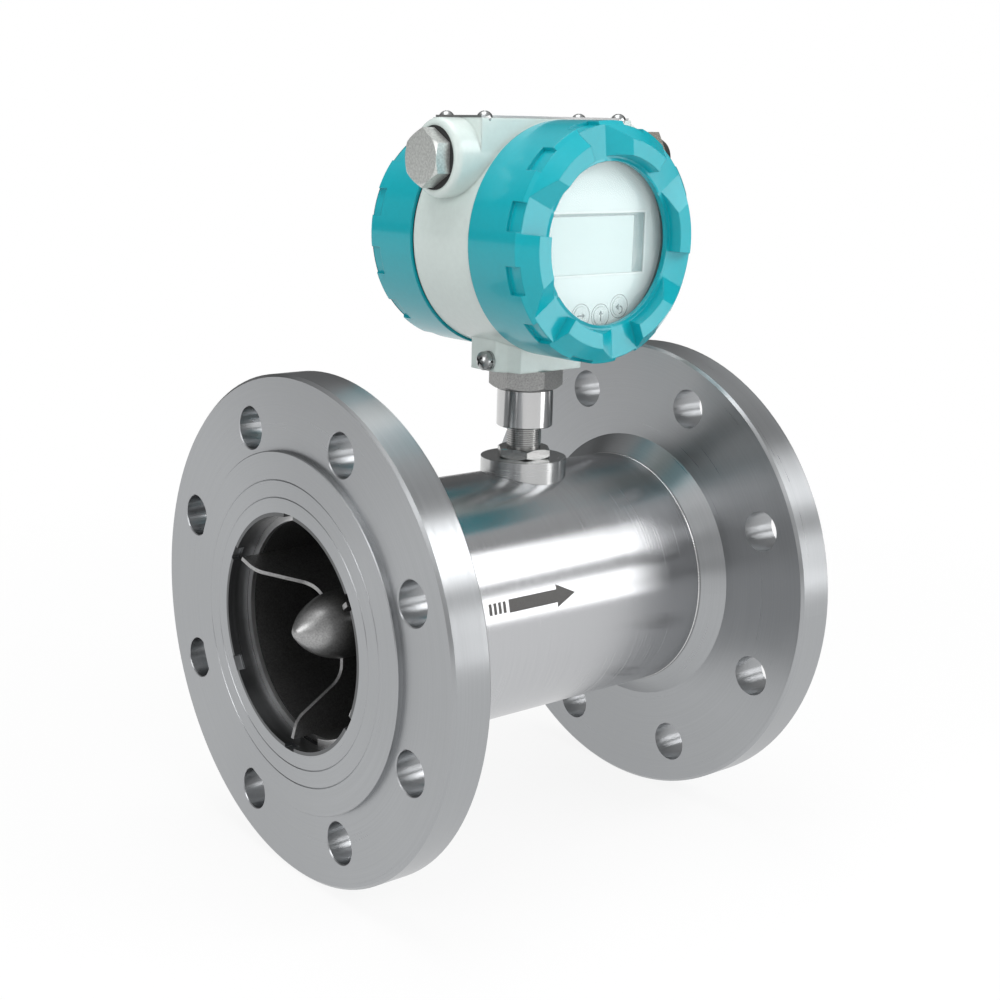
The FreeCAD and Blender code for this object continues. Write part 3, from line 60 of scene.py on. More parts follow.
# ---------------------------------------------------------------- camera
# A long lens from the inlet side, a little above the pipe, with the pipe left of the middle.
AZIMUTH = math.radians(-37.244)
ELEVATION = math.radians(13.679)
ROLL = math.radians(0.938)
CAMERA_PLACE = Vector((-334.9, -532.6, 209.1)) * MM
SENSOR = 36.0
FOCAL_TO_SENSOR = 1.5557
LENS_SHIFT = (0.0775, 0.0068)
NEAR_CLIP = 0.01
forward = Vector((-math.sin(AZIMUTH) * math.cos(ELEVATION), math.cos(AZIMUTH) * math.cos(ELEVATION),
                  -math.sin(ELEVATION)))
level = Vector((math.cos(AZIMUTH), math.sin(AZIMUTH), 0))
upward = level.cross(forward)
right = level * math.cos(ROLL) + upward * math.sin(ROLL)
top = upward * math.cos(ROLL) - level * math.sin(ROLL)
lens = bpy.data.cameras.new("camera")
lens.sensor_width = SENSOR
lens.lens = FOCAL_TO_SENSOR * SENSOR
lens.shift_x, lens.shift_y = LENS_SHIFT
lens.clip_start = NEAR_CLIP
camera = bpy.data.objects.new("camera", lens)
camera.matrix_world = Matrix((right, top, -forward)).transposed().to_4x4()
camera.location = CAMERA_PLACE
scene.collection.objects.link(camera)
scene.camera = camera


# ---------------------------------------------------------------- studio
# A pale paper floor just under the flanges fades to plain white. Grey panels of many levels stand
# round the room for the steel to mirror. Five soft boxes light the meter: a low and a high one at the
# right of the lens, one above the lens, one overhead and one at the left.
FLOOR_DROP = 0.4 * MM
FLOOR_HALF = 6.0
FADE_START = 0.2
FADE_END = 0.75
NEAR_GLOW = 0.88
CLIMB_START = 0.4
CLIMB_END = 0.65
LOW_TARGET = (0.128, 0, 0.08)
low, high = cad_box
middle = (low + high) / 2


def colour(code):
    """A linear colour with alpha from an sRGB hex code."""
    parts = [int(code[i:i + 2], 16) / 255 for i in (1, 3, 5)]
    return [c / 12.92 if c <= 0.04045 else ((c + 0.055) / 1.055) ** 2.4 for c in parts] + [1]


def node(tree, kind, settings=None):
    """Adds a node; settings are its properties, socket values and, where one is a socket, links."""
    made = tree.nodes.new(kind)
    for name, value in (settings or {}).items():
        if isinstance(name, str) and hasattr(made, name):
            setattr(made, name, value)
        elif isinstance(value, bpy.types.NodeSocket):
            tree.links.new(value, made.inputs[name])
        else:
            made.inputs[name].default_value = value
    return made


def soft_box(name, place, target, width, height, power):
    """A rectangular area lamp aimed at a target."""
    lamp = bpy.data.lights.new(name, "AREA")
    lamp.shape = "RECTANGLE"
    lamp.size = width
    lamp.size_y = height
    lamp.energy = power
    made = bpy.data.objects.new(name, lamp)
    made.location = place
    made.rotation_euler = (Vector(target) - Vector(place)).to_track_quat("-Z", "Y").to_euler()
    scene.collection.objects.link(made)


world = bpy.data.worlds.new("studio")
world.use_nodes = True
scene.world = world
tree = world.node_tree
tree.nodes.clear()
path = node(tree, "ShaderNodeLightPath")
seen = node(tree, "ShaderNodeMath", {"operation": "MAXIMUM", 0: path.outputs["Is Camera Ray"],
                                     1: path.outputs["Is Transmission Ray"]})
way = node(tree, "ShaderNodeSeparateXYZ", {0: node(tree, "ShaderNodeTexCoord").outputs["Generated"]})
front = node(tree, "ShaderNodeMath", {"operation": "MULTIPLY", 0: way.outputs["Y"], 1: -1.0})
bearing = node(tree, "ShaderNodeMath", {"operation": "ARCTAN2", 0: way.outputs["X"], 1: front.outputs[0]})
around = node(tree, "ShaderNodeMapRange", {"Value": bearing.outputs[0], "From Min": -math.pi,
                                           "From Max": math.pi})
# Panels round the room, from the back by the left, the lens side and the right, and then with height.
PANELS = {0.0: 0.25, 0.19: 0.42, 0.25: 0.45, 0.28: 0.08, 0.31: 0.10, 0.33: 0.55, 0.38: 0.6, 0.42: 1.1,
          0.46: 1.2, 0.49: 0.5, 0.56: 0.45, 0.60: 0.9, 0.64: 0.9, 0.68: 0.3, 0.74: 0.06, 0.86: 0.12,
          1.0: 0.25}
HEIGHTS = {0.0: 0.15, 0.04: 0.15, 0.09: 1.0, 0.3: 1.0, 0.36: 0.45, 1.0: 0.5}
CEILING = {0.0: 0.4, 0.7: 0.4, 0.82: 0.62, 1.0: 0.62}


def level_ramp(value, levels):
    """A grey level read off a table of places and levels."""
    ramp = node(tree, "ShaderNodeValToRGB", {"Fac": value})
    while len(ramp.color_ramp.elements) < len(levels):
        ramp.color_ramp.elements.new(0.5)
    for element, (place, level) in zip(ramp.color_ramp.elements, levels.items()):
        element.position = place
        element.color = (level, level, level, 1)
    return ramp.outputs[0]


wall = node(tree, "ShaderNodeVectorMath", {"operation": "MULTIPLY", 0: level_ramp(around.outputs[0], PANELS),
                                           1: level_ramp(way.outputs["Z"], HEIGHTS)})
climb = node(tree, "ShaderNodeMapRange", {"interpolation_type": "SMOOTHSTEP", "Value": way.outputs["Z"],
                                          "From Min": CLIMB_START, "From Max": CLIMB_END})
surround = node(tree, "ShaderNodeMix", {"data_type": "RGBA", "Factor": climb.outputs[0], 6: wall.outputs[0],
                                        7: level_ramp(way.outputs["Z"], CEILING)})
dim = node(tree, "ShaderNodeBackground", {"Color": surround.outputs[2], "Strength": 1.0})
white = node(tree, "ShaderNodeBackground", {"Color": colour("#FFFFFF"), "Strength": 1.0})
mix = node(tree, "ShaderNodeMixShader", {0: seen.outputs[0], 1: dim.outputs[0], 2: white.outputs[0]})
node(tree, "ShaderNodeOutputWorld", {"Surface": mix.outputs[0]})

soft_box("low_key_lamp", (0.75, -0.85, 0.08), LOW_TARGET, 0.32, 0.36, 1.25)
soft_box("high_key_lamp", (0.68, -0.85, 0.72), middle, 0.6, 0.5, 4.6)
soft_box("front_lamp", (-0.1, -1.25, 0.95), middle, 0.9, 0.3, 3.6)
soft_box("top_lamp", (0.0, 0.1, 1.25), middle, 1.2, 0.7, 8)
soft_box("left_lamp", (-1.15, -0.15, 0.5), middle, 0.5, 0.8, 5)

floor_mesh = bpy.data.meshes.new("floor")
floor_mesh.from_pydata([(-FLOOR_HALF, -FLOOR_HALF, 0), (FLOOR_HALF, -FLOOR_HALF, 0),
                        (FLOOR_HALF, FLOOR_HALF, 0), (-FLOOR_HALF, FLOOR_HALF, 0)], [], [(0, 1, 2, 3)])
floor_mesh.transform(Matrix.Translation((0, 0, low.z - FLOOR_DROP)))
floor = bpy.data.objects.new("floor", floor_mesh)
scene.collection.objects.link(floor)
paper = bpy.data.materials.new("white_paper")
paper.use_nodes = True
tree = paper.node_tree
tree.nodes.clear()
path = node(tree, "ShaderNodeLightPath")
seen = node(tree, "ShaderNodeMath", {"operation": "MAXIMUM", 0: path.outputs["Is Camera Ray"],
                                     1: path.outputs["Is Glossy Ray"]})
seen = node(tree, "ShaderNodeMath", {"operation": "MAXIMUM", 0: seen.outputs[0],
                                     1: path.outputs["Is Transmission Ray"]})
spot = node(tree, "ShaderNodeTexCoord").outputs["Object"]
reach = node(tree, "ShaderNodeVectorMath", {"operation": "DISTANCE", 0: spot,
                                            1: (middle.x, middle.y, low.z)})
fade = node(tree, "ShaderNodeMapRange", {"interpolation_type": "SMOOTHSTEP", "Value": reach.outputs["Value"],
                                         "From Min": FADE_START, "From Max": FADE_END,
                                         "To Min": NEAR_GLOW, "To Max": 1.0})
share = node(tree, "ShaderNodeMath", {"operation": "MULTIPLY", 0: seen.outputs[0], 1: fade.outputs[0]})
lit = node(tree, "ShaderNodeBsdfDiffuse", {"Color": colour("#F2F2F2")})
glow = node(tree, "ShaderNodeEmission", {"Color": colour("#FFFFFF"), "Strength": 1.0})
mix = node(tree, "ShaderNodeMixShader", {0: share.outputs[0], 1: lit.outputs[0], 2: glow.outputs[0]})
node(tree, "ShaderNodeOutputMaterial", {"Surface": mix.outputs[0]})
floor_mesh.materials.append(paper)

scene.view_settings.view_transform = "Standard"

# ---------------------------------------------------------------- flanges and meter tube
# Two weld-neck flanges and a length of pipe between them, all of austenitic stainless steel.
# The flanges are turned on a lathe, and the pipe is belt-polished round and round, so each shows
# fine rings, and a highlight spreads across the rings and stays sharp along them.
PIPE_AXIS = (1, 0, 0)
PIPE_MIDDLE = (0, 0, 0)
# Inside the flange bores the steel's colour is darkened: painted shade for the deep bore.
BORE_SHADE = 0.32
BORE_SHADE_EDGE = 0.1 * MM
NOISE_LOW = 0.3
NOISE_HIGH = 0.7
ROUGH_SWING = 0.18
QUARTER_TURN = 0.25


def finish_of(name, **sockets):
    """A new material with one principled shader; sockets are given with _ for a space."""
    made = bpy.data.materials.new(name)
    made.use_nodes = True
    made.node_tree.nodes.clear()
    shader = node(made.node_tree, "ShaderNodeBsdfPrincipled",
                  {key.replace("_", " "): value for key, value in sockets.items()})
    node(made.node_tree, "ShaderNodeOutputMaterial", {"Surface": shader.outputs[0]})
    return made, made.node_tree, shader


def dress(material, *names):
    """Gives CAD nodes a material in place of their own."""
    for name in names:
        for slot in nodes[name].material_slots:
            slot.material = material


def tint(tree, shader, base, pattern, spread):
    """Varies a base colour a little, lighter and darker, by a pattern about 0.5."""
    scale = node(tree, "ShaderNodeMapRange", {"Value": pattern, "From Min": NOISE_LOW, "From Max": NOISE_HIGH,
                                              "To Min": 1 - spread, "To Max": 1 + spread})
    shade = node(tree, "ShaderNodeVectorMath", {"operation": "SCALE", 0: colour(base)[:3],
                                                "Scale": scale.outputs[0]})
    tree.links.new(shade.outputs[0], shader.inputs["Base Color"])
    return shade.outputs[0]


def emboss(tree, shader, pattern, depth, strength=1.0, under=None):
    """Raises a surface by a pattern; depth is in millimetres."""
    settings = {"Height": pattern, "Distance": depth * MM, "Strength": strength}
    if under:
        settings["Normal"] = under
    bump = node(tree, "ShaderNodeBump", settings)
    tree.links.new(bump.outputs[0], shader.inputs["Normal"])


def turned_metal(name, base, rough, pitch, depth, anisotropy, axis, centre, spread=0.05, shade_within=None):
    """Metal turned or polished round an axis, with rings about a pitch apart, in millimetres."""
    made, tree, shader = finish_of(name, Base_Color=colour(base), Metallic=1.0, Roughness=rough,
                                   Anisotropic=anisotropy, Anisotropic_Rotation=QUARTER_TURN)
    spot = node(tree, "ShaderNodeTexCoord").outputs["Object"]
    offset = node(tree, "ShaderNodeVectorMath", {"operation": "SUBTRACT", 0: spot, 1: centre})
    hoop = node(tree, "ShaderNodeVectorMath", {"operation": "CROSS_PRODUCT", 0: axis, 1: offset.outputs[0]})
    radius = node(tree, "ShaderNodeVectorMath", {"operation": "LENGTH", 0: hoop.outputs[0]})
    around = node(tree, "ShaderNodeVectorMath", {"operation": "NORMALIZE", 0: hoop.outputs[0]})
    along = node(tree, "ShaderNodeVectorMath", {"operation": "DOT_PRODUCT", 0: axis, 1: offset.outputs[0]})
    across = 1000 / pitch
    rows = node(tree, "ShaderNodeMath", {"operation": "MULTIPLY", 0: along.outputs["Value"], 1: across})
    steps = node(tree, "ShaderNodeMath", {"operation": "MULTIPLY", 0: radius.outputs["Value"], 1: across})
    row = node(tree, "ShaderNodeVectorMath", {"operation": "SCALE", 0: axis, "Scale": rows.outputs[0]})
    place = node(tree, "ShaderNodeVectorMath", {"operation": "ADD", 0: around.outputs[0], 1: row.outputs[0]})
    rings = node(tree, "ShaderNodeTexNoise", {"noise_dimensions": "4D", "Vector": place.outputs[0],
                                              "W": steps.outputs[0], "Scale": 1.0, "Detail": 2.0})
    cloud = node(tree, "ShaderNodeTexNoise", {"Vector": spot, "Scale": 30.0, "Detail": 3.0})
    blend = node(tree, "ShaderNodeMix", {"Factor": 0.3, 2: rings.outputs["Fac"], 3: cloud.outputs["Fac"]})
    rough_map = node(tree, "ShaderNodeMapRange", {"Value": blend.outputs[0], "From Min": NOISE_LOW,
                                                  "From Max": NOISE_HIGH, "To Min": rough * (1 - ROUGH_SWING),
                                                  "To Max": rough * (1 + ROUGH_SWING)})
    tree.links.new(rough_map.outputs[0], shader.inputs["Roughness"])
    shade = tint(tree, shader, base, blend.outputs[0], spread)
    # Within the bore radius the base colour is scaled darker, as painted shade where the bore lies in shadow.
    if shade_within:
        painted_shade_level = node(tree, "ShaderNodeMapRange", {"Value": radius.outputs["Value"], "From Min": shade_within,
                                                   "From Max": shade_within + BORE_SHADE_EDGE, "To Min": BORE_SHADE,
                                                   "To Max": 1.0})
        shaded_bore = node(tree, "ShaderNodeVectorMath", {"operation": "SCALE", 0: shade,
                                                   "Scale": painted_shade_level.outputs[0]})
        tree.links.new(shaded_bore.outputs[0], shader.inputs["Base Color"])
    emboss(tree, shader, rings.outputs["Fac"], depth)
    turned = node(tree, "ShaderNodeVectorTransform", {"vector_type": "VECTOR", "convert_from": "OBJECT",
                                                      "convert_to": "WORLD", "Vector": around.outputs[0]})
    unit = node(tree, "ShaderNodeVectorMath", {"operation": "NORMALIZE", 0: turned.outputs[0]})
    tree.links.new(unit.outputs[0], shader.inputs["Tangent"])
    return made


bore_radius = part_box("inlet_clip")[1].y
flange_steel = turned_metal("turned_stainless_steel", "#A7A9AB", 0.32, 0.7, 0.008, 0.75, PIPE_AXIS,
                            PIPE_MIDDLE, 0.06, bore_radius)
tube_steel = turned_metal("belt_polished_stainless_steel", "#BDBEC0", 0.24, 0.5, 0.003, 0.8, PIPE_AXIS,
                          PIPE_MIDDLE)
dress(flange_steel, "inlet_flange", "outlet_flange")
dress(tube_steel, "meter_tube")


# ---------------------------------------------------------------- weld beads
# Each flange hub is butt-welded to the pipe and the seam dressed down, which leaves a low bright
# bead with close ripples. A bead is a ring swept round the seam, let into both parts.
BEAD_WIDTH = 2.4 * MM
BEAD_PROUD = 0.3 * MM
BEAD_SUNK = 0.3 * MM
BEAD_LAP = 0.05 * MM
RIPPLE_PITCH = 1.3 * MM
RIPPLE_SWELL = 0.35
RIPPLE_SHAPE = (1, 0.2, -0.3, 0.3)
BEAD_CROWN = 0.96
BEAD_ARC_PARTS = 6
tube_low, tube_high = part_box("meter_tube")
pipe_radius = tube_high.y


def fit(name, mesh, material, body, slot, *replaced):
    """Makes a piece from a mesh, on a body, and hides the CAD nodes that it replaces; the slot is not used.
    """
    made = bpy.data.objects.new(name, mesh)
    mesh.materials.clear()
    mesh.materials.append(material)
    scene.collection.objects.link(made)
    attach(made, body)
    if replaced:
        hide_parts(*replaced)


def closed_mesh(name, bm, smooth_angle=40):
    """A mesh from a closed bmesh, its faces turned outwards and its gentle edges smooth."""
    bmesh.ops.remove_doubles(bm, verts=bm.verts, dist=0.0005 * MM)
    bmesh.ops.recalc_face_normals(bm, faces=bm.faces)
    for edge in bm.edges:
        edge.smooth = edge.calc_face_angle(math.pi) < math.radians(smooth_angle)
    for face in bm.faces:
        face.smooth = True
    mesh = bpy.data.meshes.new(name)
    bm.to_mesh(mesh)
    bm.free()
    return mesh


def loops_to_faces(bm, sections, around=False):
    """Joins like sections of points in order into a closed skin; around joins the last to the first."""
    rows = [[bm.verts.new(point) for point in section] for section in sections]
    pairs = list(zip(rows, rows[1:] + rows[:1])) if around else list(zip(rows, rows[1:]))
    for one, two in pairs:
        for i in range(len(one)):
            j = (i + 1) % len(one)
            bm.faces.new((one[i], one[j], two[j], two[i]))
    if not around:
        bm.faces.new(rows[0])
        bm.faces.new(rows[-1])


def weld_bead(bm, seam):
    """One rippled bead round the pipe at a seam."""
    ripples = round(2 * math.pi * pipe_radius / RIPPLE_PITCH)
    sections = []
    steps = ripples * len(RIPPLE_SHAPE)
    for step in range(steps):
        angle = 2 * math.pi * step / steps
        swell = 1 + RIPPLE_SWELL * RIPPLE_SHAPE[step % len(RIPPLE_SHAPE)]
        section = [(seam - BEAD_WIDTH / 2, pipe_radius - BEAD_SUNK)]
        for part in range(BEAD_ARC_PARTS + 1):
            across = math.pi * part / BEAD_ARC_PARTS
            section.append((seam - BEAD_WIDTH / 2 * math.cos(across) * BEAD_CROWN,
                            pipe_radius - BEAD_LAP + BEAD_PROUD * swell * math.sin(across)))
        section.append((seam + BEAD_WIDTH / 2, pipe_radius - BEAD_SUNK))
        sections.append([(x, -radius * math.cos(angle), radius * math.sin(angle)) for x, radius in section])
    loops_to_faces(bm, sections, around=True)


bm = bmesh.new()
for seam in (tube_low.x, tube_high.x):
    weld_bead(bm, seam)
bead_steel = turned_metal("dressed_weld_metal", "#D4D4D4", 0.2, 0.6, 0.004, 0.3, PIPE_AXIS, PIPE_MIDDLE)
fit("weld_beads", closed_mesh("weld_beads", bm), bead_steel, "meter", "tube_steel")


# ---------------------------------------------------------------- flow arrow
# The direction of flow is etched into the pipe by acid through a stencil: a dark matt arrow with
# four bars behind it. It is drawn flat, cut across every millimetre and wrapped round the pipe.
ETCH = 0.03 * MM
ARROW_TURN = 13.9
BARS = 4
BAR_START = 64.3
BAR_WIDTH = 1.5
BAR_STEP = 2.55
BAR_HALF = 2.45
SHAFT = (75.2, 102.2)
SHAFT_HALF = 2.85
HEAD_HALF = 5.0
TIP = 112.6
ARROW_SUNK = -0.1
ARROW_CUTS = range(-4, 5)


def plate(bm, outline, top, bottom=0.0):
    """A flat closed plate with an outline in two directions and its faces at two heights."""
    above = [bm.verts.new((u, v, top)) for u, v in outline]
    below = [bm.verts.new((u, v, bottom)) for u, v in outline]
    bm.faces.new(above)
    bm.faces.new(below[::-1])
    for i in range(len(outline)):
        j = (i + 1) % len(outline)
        bm.faces.new((above[j], above[i], below[i], below[j]))


def box_outline(u0, u1, half):
    """The corners of a rectangle that lies evenly about the first direction."""
    return [(u0, -half), (u1, -half), (u1, half), (u0, half)]


bm = bmesh.new()
for bar in range(BARS):
    start = BAR_START + bar * BAR_STEP
    plate(bm, box_outline(start, start + BAR_WIDTH, BAR_HALF), ETCH / MM, ARROW_SUNK)
plate(bm, [(SHAFT[0], -SHAFT_HALF), (SHAFT[1], -SHAFT_HALF), (SHAFT[1], -HEAD_HALF), (TIP, 0),
           (SHAFT[1], HEAD_HALF), (SHAFT[1], SHAFT_HALF), (SHAFT[0], SHAFT_HALF)], ETCH / MM, ARROW_SUNK)
for cut in ARROW_CUTS:
    bmesh.ops.bisect_plane(bm, geom=bm.verts[:] + bm.edges[:] + bm.faces[:], plane_co=(0, cut, 0),
                           plane_no=(0, 1, 0))
for vert in bm.verts:
    turn = math.radians(ARROW_TURN) + vert.co.y * MM / pipe_radius
    reach = pipe_radius + vert.co.z * MM
    vert.co = (vert.co.x * MM, -reach * math.cos(turn), reach * math.sin(turn))


def grained(name, base, rough, grain, depth, metal=1.0, spread=0.12, **sockets):
    """A fine even grain, in millimetres, as grit blasting, a mould or a die leaves it."""
    made, tree, shader = finish_of(name, Base_Color=colour(base), Metallic=metal, Roughness=rough, **sockets)
    spot = node(tree, "ShaderNodeTexCoord").outputs["Object"]
    grit = node(tree, "ShaderNodeTexNoise", {"Vector": spot, "Scale": 1000 / grain, "Detail": 3.0})
    tint(tree, shader, base, grit.outputs["Fac"], spread)
    emboss(tree, shader, grit.outputs["Fac"], depth)
    return made


etched_steel = grained("acid_etched_steel", "#5C5B5A", 0.6, 0.5, 0.02, metal=0.5)
fit("flow_arrow", closed_mesh("flow_arrow", bm), etched_steel, "meter", "tube_steel")


# ---------------------------------------------------------------- flow guides
# The inlet and outlet guides are lost-wax castings of stainless steel, three vanes on a hub with a
# rounded nose. They are shot-blasted, which leaves an even grey sparkle.
blasted_steel = grained("shot_blasted_cast_steel", "#A0A0A0", 0.36, 0.8, 0.035, spread=0.2)
dress(blasted_steel, "inlet_guide", "outlet_guide")


# ---------------------------------------------------------------- rotor, shaft and bearings
# The rotor is milled from magnetic stainless steel, and spins on a ground tungsten carbide shaft in
# filled plastic bushes, between carbide thrust pads.
rotor_steel = grained("milled_magnetic_steel", "#989898", 0.3, 0.5, 0.01, spread=0.08)
carbide = grained("ground_tungsten_carbide", "#6F6E70", 0.16, 0.4, 0.002, spread=0.06)
bush_plastic = grained("graphite_filled_ptfe", "#4A4947", 0.55, 0.6, 0.01, metal=0.0, spread=0.1)
dress(rotor_steel, "rotor")
dress(carbide, "rotor_shaft", "inlet_thrust_pad", "outlet_thrust_pad")
dress(bush_plastic, "inlet_bearing", "outlet_bearing")


# ---------------------------------------------------------------- retaining rings
# A flat sprung ring of bright stainless steel sits in a groove at each end and holds its guide in.
ring_steel = turned_metal("bright_spring_steel", "#E6E6E6", 0.34, 0.6, 0.002, 0.2, PIPE_AXIS, PIPE_MIDDLE)
dress(ring_steel, "inlet_clip", "outlet_clip")


# ---------------------------------------------------------------- pickup and its boss
# A turned boss is welded on top of the pipe. The pickup, a stainless tube with a coil wound on a
# magnet in it, screws down into the boss and is locked by a thin hexagon nut.
STEM_AXIS = (0, 0, 1)
THREAD_STEPS = 72
PICKUP_PITCH = 1.0 * MM
PICKUP_RIDGE = 0.25 * MM
THREAD_FOOT = 0.42
THREAD_CREST = 0.08
THREAD_SUNK = 0.2 * MM
pickup_low, pickup_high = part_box("pickup_tube")
nut_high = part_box("pickup_lock_nut")[1]
sleeve_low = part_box("stem_sleeve")[0]
stem_middle = Vector(((pickup_low.x + pickup_high.x) / 2, 0, 0))


def screw_thread(bm, centre, axis, start, end, radius, pitch, ridge):
    """A helical ridge with a narrow crest on a cylinder, thinned out to nothing at both ends."""
    axis = Vector(axis)
    first = Vector((1, 0, 0))
    second = axis.cross(first)
    foot = pitch * THREAD_FOOT
    crest = pitch * THREAD_CREST
    turns = (end - start - 2 * foot) / pitch
    count = math.ceil(turns * THREAD_STEPS)
    run_out = THREAD_STEPS // 4
    sections = []
    for step in range(count + 1):
        angle = 2 * math.pi * turns * step / count
        outward = first * math.cos(angle) + second * math.sin(angle)
        height = start + foot + (end - start - 2 * foot) * step / count
        raised = ridge * min(1, step / run_out, (count - step) / run_out)
        profile = [(-foot, -THREAD_SUNK), (-crest, raised), (crest, raised), (foot, -THREAD_SUNK)]
        sections.append([Vector(centre) + axis * (height + rise) + outward * (radius + out)
                         for rise, out in profile])
    loops_to_faces(bm, sections)


def steel_on_stem(name, base, rough, anisotropy):
    """Bright steel turned about the stem."""
    return turned_metal(name, base, rough, 0.5, 0.0012, anisotropy, STEM_AXIS, stem_middle, 0.03)


boss_steel = steel_on_stem("turned_boss_steel", "#BEBFBF", 0.24, 0.7)
pickup_steel = steel_on_stem("threaded_pickup_steel", "#A9A9A8", 0.24, 0.4)
nut_steel = grained("milled_nut_steel", "#ABABAA", 0.26, 0.7, 0.006, spread=0.05)
dress(boss_steel, "sensor_boss")
dress(pickup_steel, "pickup_tube")
dress(nut_steel, "pickup_lock_nut")
bm = bmesh.new()
screw_thread(bm, stem_middle, STEM_AXIS, nut_high.z, sleeve_low.z, pickup_high.y, PICKUP_PITCH, PICKUP_RIDGE)
fit("pickup_thread", closed_mesh("pickup_thread", bm), pickup_steel, "meter", "bright_steel")

# Enamelled copper wire in close layers shows as fine rings, drawn twice as coarse as the wire.
WIRE_RINGS = 0.4
coil_copper = turned_metal("enamelled_copper_winding", "#B4643A", 0.3, WIRE_RINGS, 0.05, 0.0, STEM_AXIS,
                           stem_middle, 0.2)
magnet_nickel = grained("nickel_plated_magnet", "#B5B2AC", 0.2, 0.5, 0.002, spread=0.04)
dress(coil_copper, "pickup_coil")
dress(magnet_nickel, "pickup_magnet")


# ---------------------------------------------------------------- stem
# A polished sleeve screws on the pickup and carries the head. The hexagon adapter over it turns
# about the sleeve, is held up by a spring clip inside the head, and is blasted to a dull grey.
sleeve_steel = steel_on_stem("polished_sleeve_steel", "#C6C6C6", 0.16, 0.8)
adapter_steel = grained("blasted_adapter_steel", "#A4A4A3", 0.42, 0.7, 0.04, spread=0.2)
clip_steel = grained("plated_clip_wire", "#BDBCBA", 0.25, 0.5, 0.002, spread=0.05)
dress(sleeve_steel, "stem_sleeve")
dress(adapter_steel, "stem_adapter")
dress(clip_steel, "stem_clip")


# ---------------------------------------------------------------- housing
# The head is an aluminium die casting, stove-enamelled pale grey-green inside and out. Cast corners
# are rounded, so its sharp edges catch the light softly, and the paint has a slight orange peel.
HEAD_AXIS = (0, -1, 0)
CAST_EDGE = 1.5 * MM
COVER_EDGE = 0.8 * MM
NECK_PITCH = 2.0 * MM
NECK_RIDGE = 0.22 * MM
NECK_RADIUS = 45.9 * MM
ENAMEL_PEEL = 400.0
ENAMEL_GLOSS = 0.09
plate_low, plate_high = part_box("display_plate")
housing_low, housing_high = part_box("housing")
front_seal_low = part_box("front_cover_seal")[0]
rear_seal_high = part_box("rear_cover_seal")[1]
head_middle = Vector(((plate_low.x + plate_high.x) / 2, 0, (plate_low.z + plate_high.z) / 2))


def enamel(name, base, rough, coat, edge, peel_depth=0.04, sheen_level=0.5):
    """Baked enamel over a casting with rounded edges."""
    made, tree, shader = finish_of(name, Base_Color=colour(base), Roughness=rough, Coat_Weight=coat,
                                   Coat_Roughness=ENAMEL_GLOSS, Specular_IOR_Level=sheen_level)
    spot = node(tree, "ShaderNodeTexCoord").outputs["Object"]
    peel = node(tree, "ShaderNodeTexNoise", {"Vector": spot, "Scale": ENAMEL_PEEL, "Detail": 2.0})
    soft = node(tree, "ShaderNodeBevel", {"samples": 6, "Radius": edge})
    tint(tree, shader, base, peel.outputs["Fac"], 0.02)
    emboss(tree, shader, peel.outputs["Fac"], peel_depth, 0.5, soft.outputs[0])
    return made


housing_enamel = enamel("pale_grey_green_enamel", "#D3DFDB", 0.36, 0.35, CAST_EDGE)
dress(housing_enamel, "housing")
bm = bmesh.new()
for thread_start, thread_end in ((front_seal_low, housing_low), (housing_high, rear_seal_high)):
    screw_thread(bm, head_middle, HEAD_AXIS, -thread_start.y, -thread_end.y, NECK_RADIUS, NECK_PITCH,
                 NECK_RIDGE)
neck_metal = turned_metal("machined_aluminium_thread", "#C9CACB", 0.3, 0.5, 0.006, 0.3, HEAD_AXIS,
                          head_middle)
fit("neck_threads", closed_mesh("neck_threads", bm), neck_metal, "head", "housing_paint")


# ---------------------------------------------------------------- covers, window and seals
# The two covers are die castings in glossy deep teal enamel. The front one holds a toughened glass
# on a rubber gasket behind an aluminium ring, and each cover closes on a black rubber O-ring.
cover_enamel = enamel("glossy_teal_enamel", "#00A4B1", 0.30, 0.4, COVER_EDGE, 0.03, 0.3)
dress(cover_enamel, "front_cover", "rear_cover")
black_rubber = grained("black_nitrile_rubber", "#1B1B1C", 0.6, 0.5, 0.02, metal=0.0, spread=0.15)
dress(black_rubber, "front_cover_seal", "rear_cover_seal", "window_gasket")
ring_aluminium = turned_metal("turned_aluminium", "#C8C9CA", 0.3, 0.6, 0.005, 0.5, HEAD_AXIS, head_middle)
dress(ring_aluminium, "window_ring")
# Float glass is smooth and nearly clear, with a faint green tint that varies a little.
window_glass, tree, shader = finish_of("toughened_glass", Roughness=0.03, Alpha=0.12, Coat_Weight=1.0,
                                       Coat_Roughness=0.02, Specular_IOR_Level=1.0)
spot = node(tree, "ShaderNodeTexCoord").outputs["Object"]
cast = node(tree, "ShaderNodeTexNoise", {"Vector": spot, "Scale": 25.0, "Detail": 1.0})
tint(tree, shader, "#DDF3F4", cast.outputs["Fac"], 0.02)
dress(window_glass, "window_glass")


# ---------------------------------------------------------------- display
# A printed polyester film on the front plate surrounds a liquid crystal window in a thin raised
# frame. The module, its board and the brass spacers are behind it.
FRAME_WIDTH = 1.0 * MM
FRAME_HEIGHT = 0.35 * MM
FRAME_BEVEL = 0.15 * MM
SHADE_STRIP_START = 50.5 * MM
TOP_SHADE_STRIP = 1.3 * MM
lcd_low, lcd_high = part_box("lcd_glass")
film = grained("printed_polyester_film", "#E2EEED", 0.45, 0.3, 0.004, metal=0.0, spread=0.015)
dress(film, "display_plate")
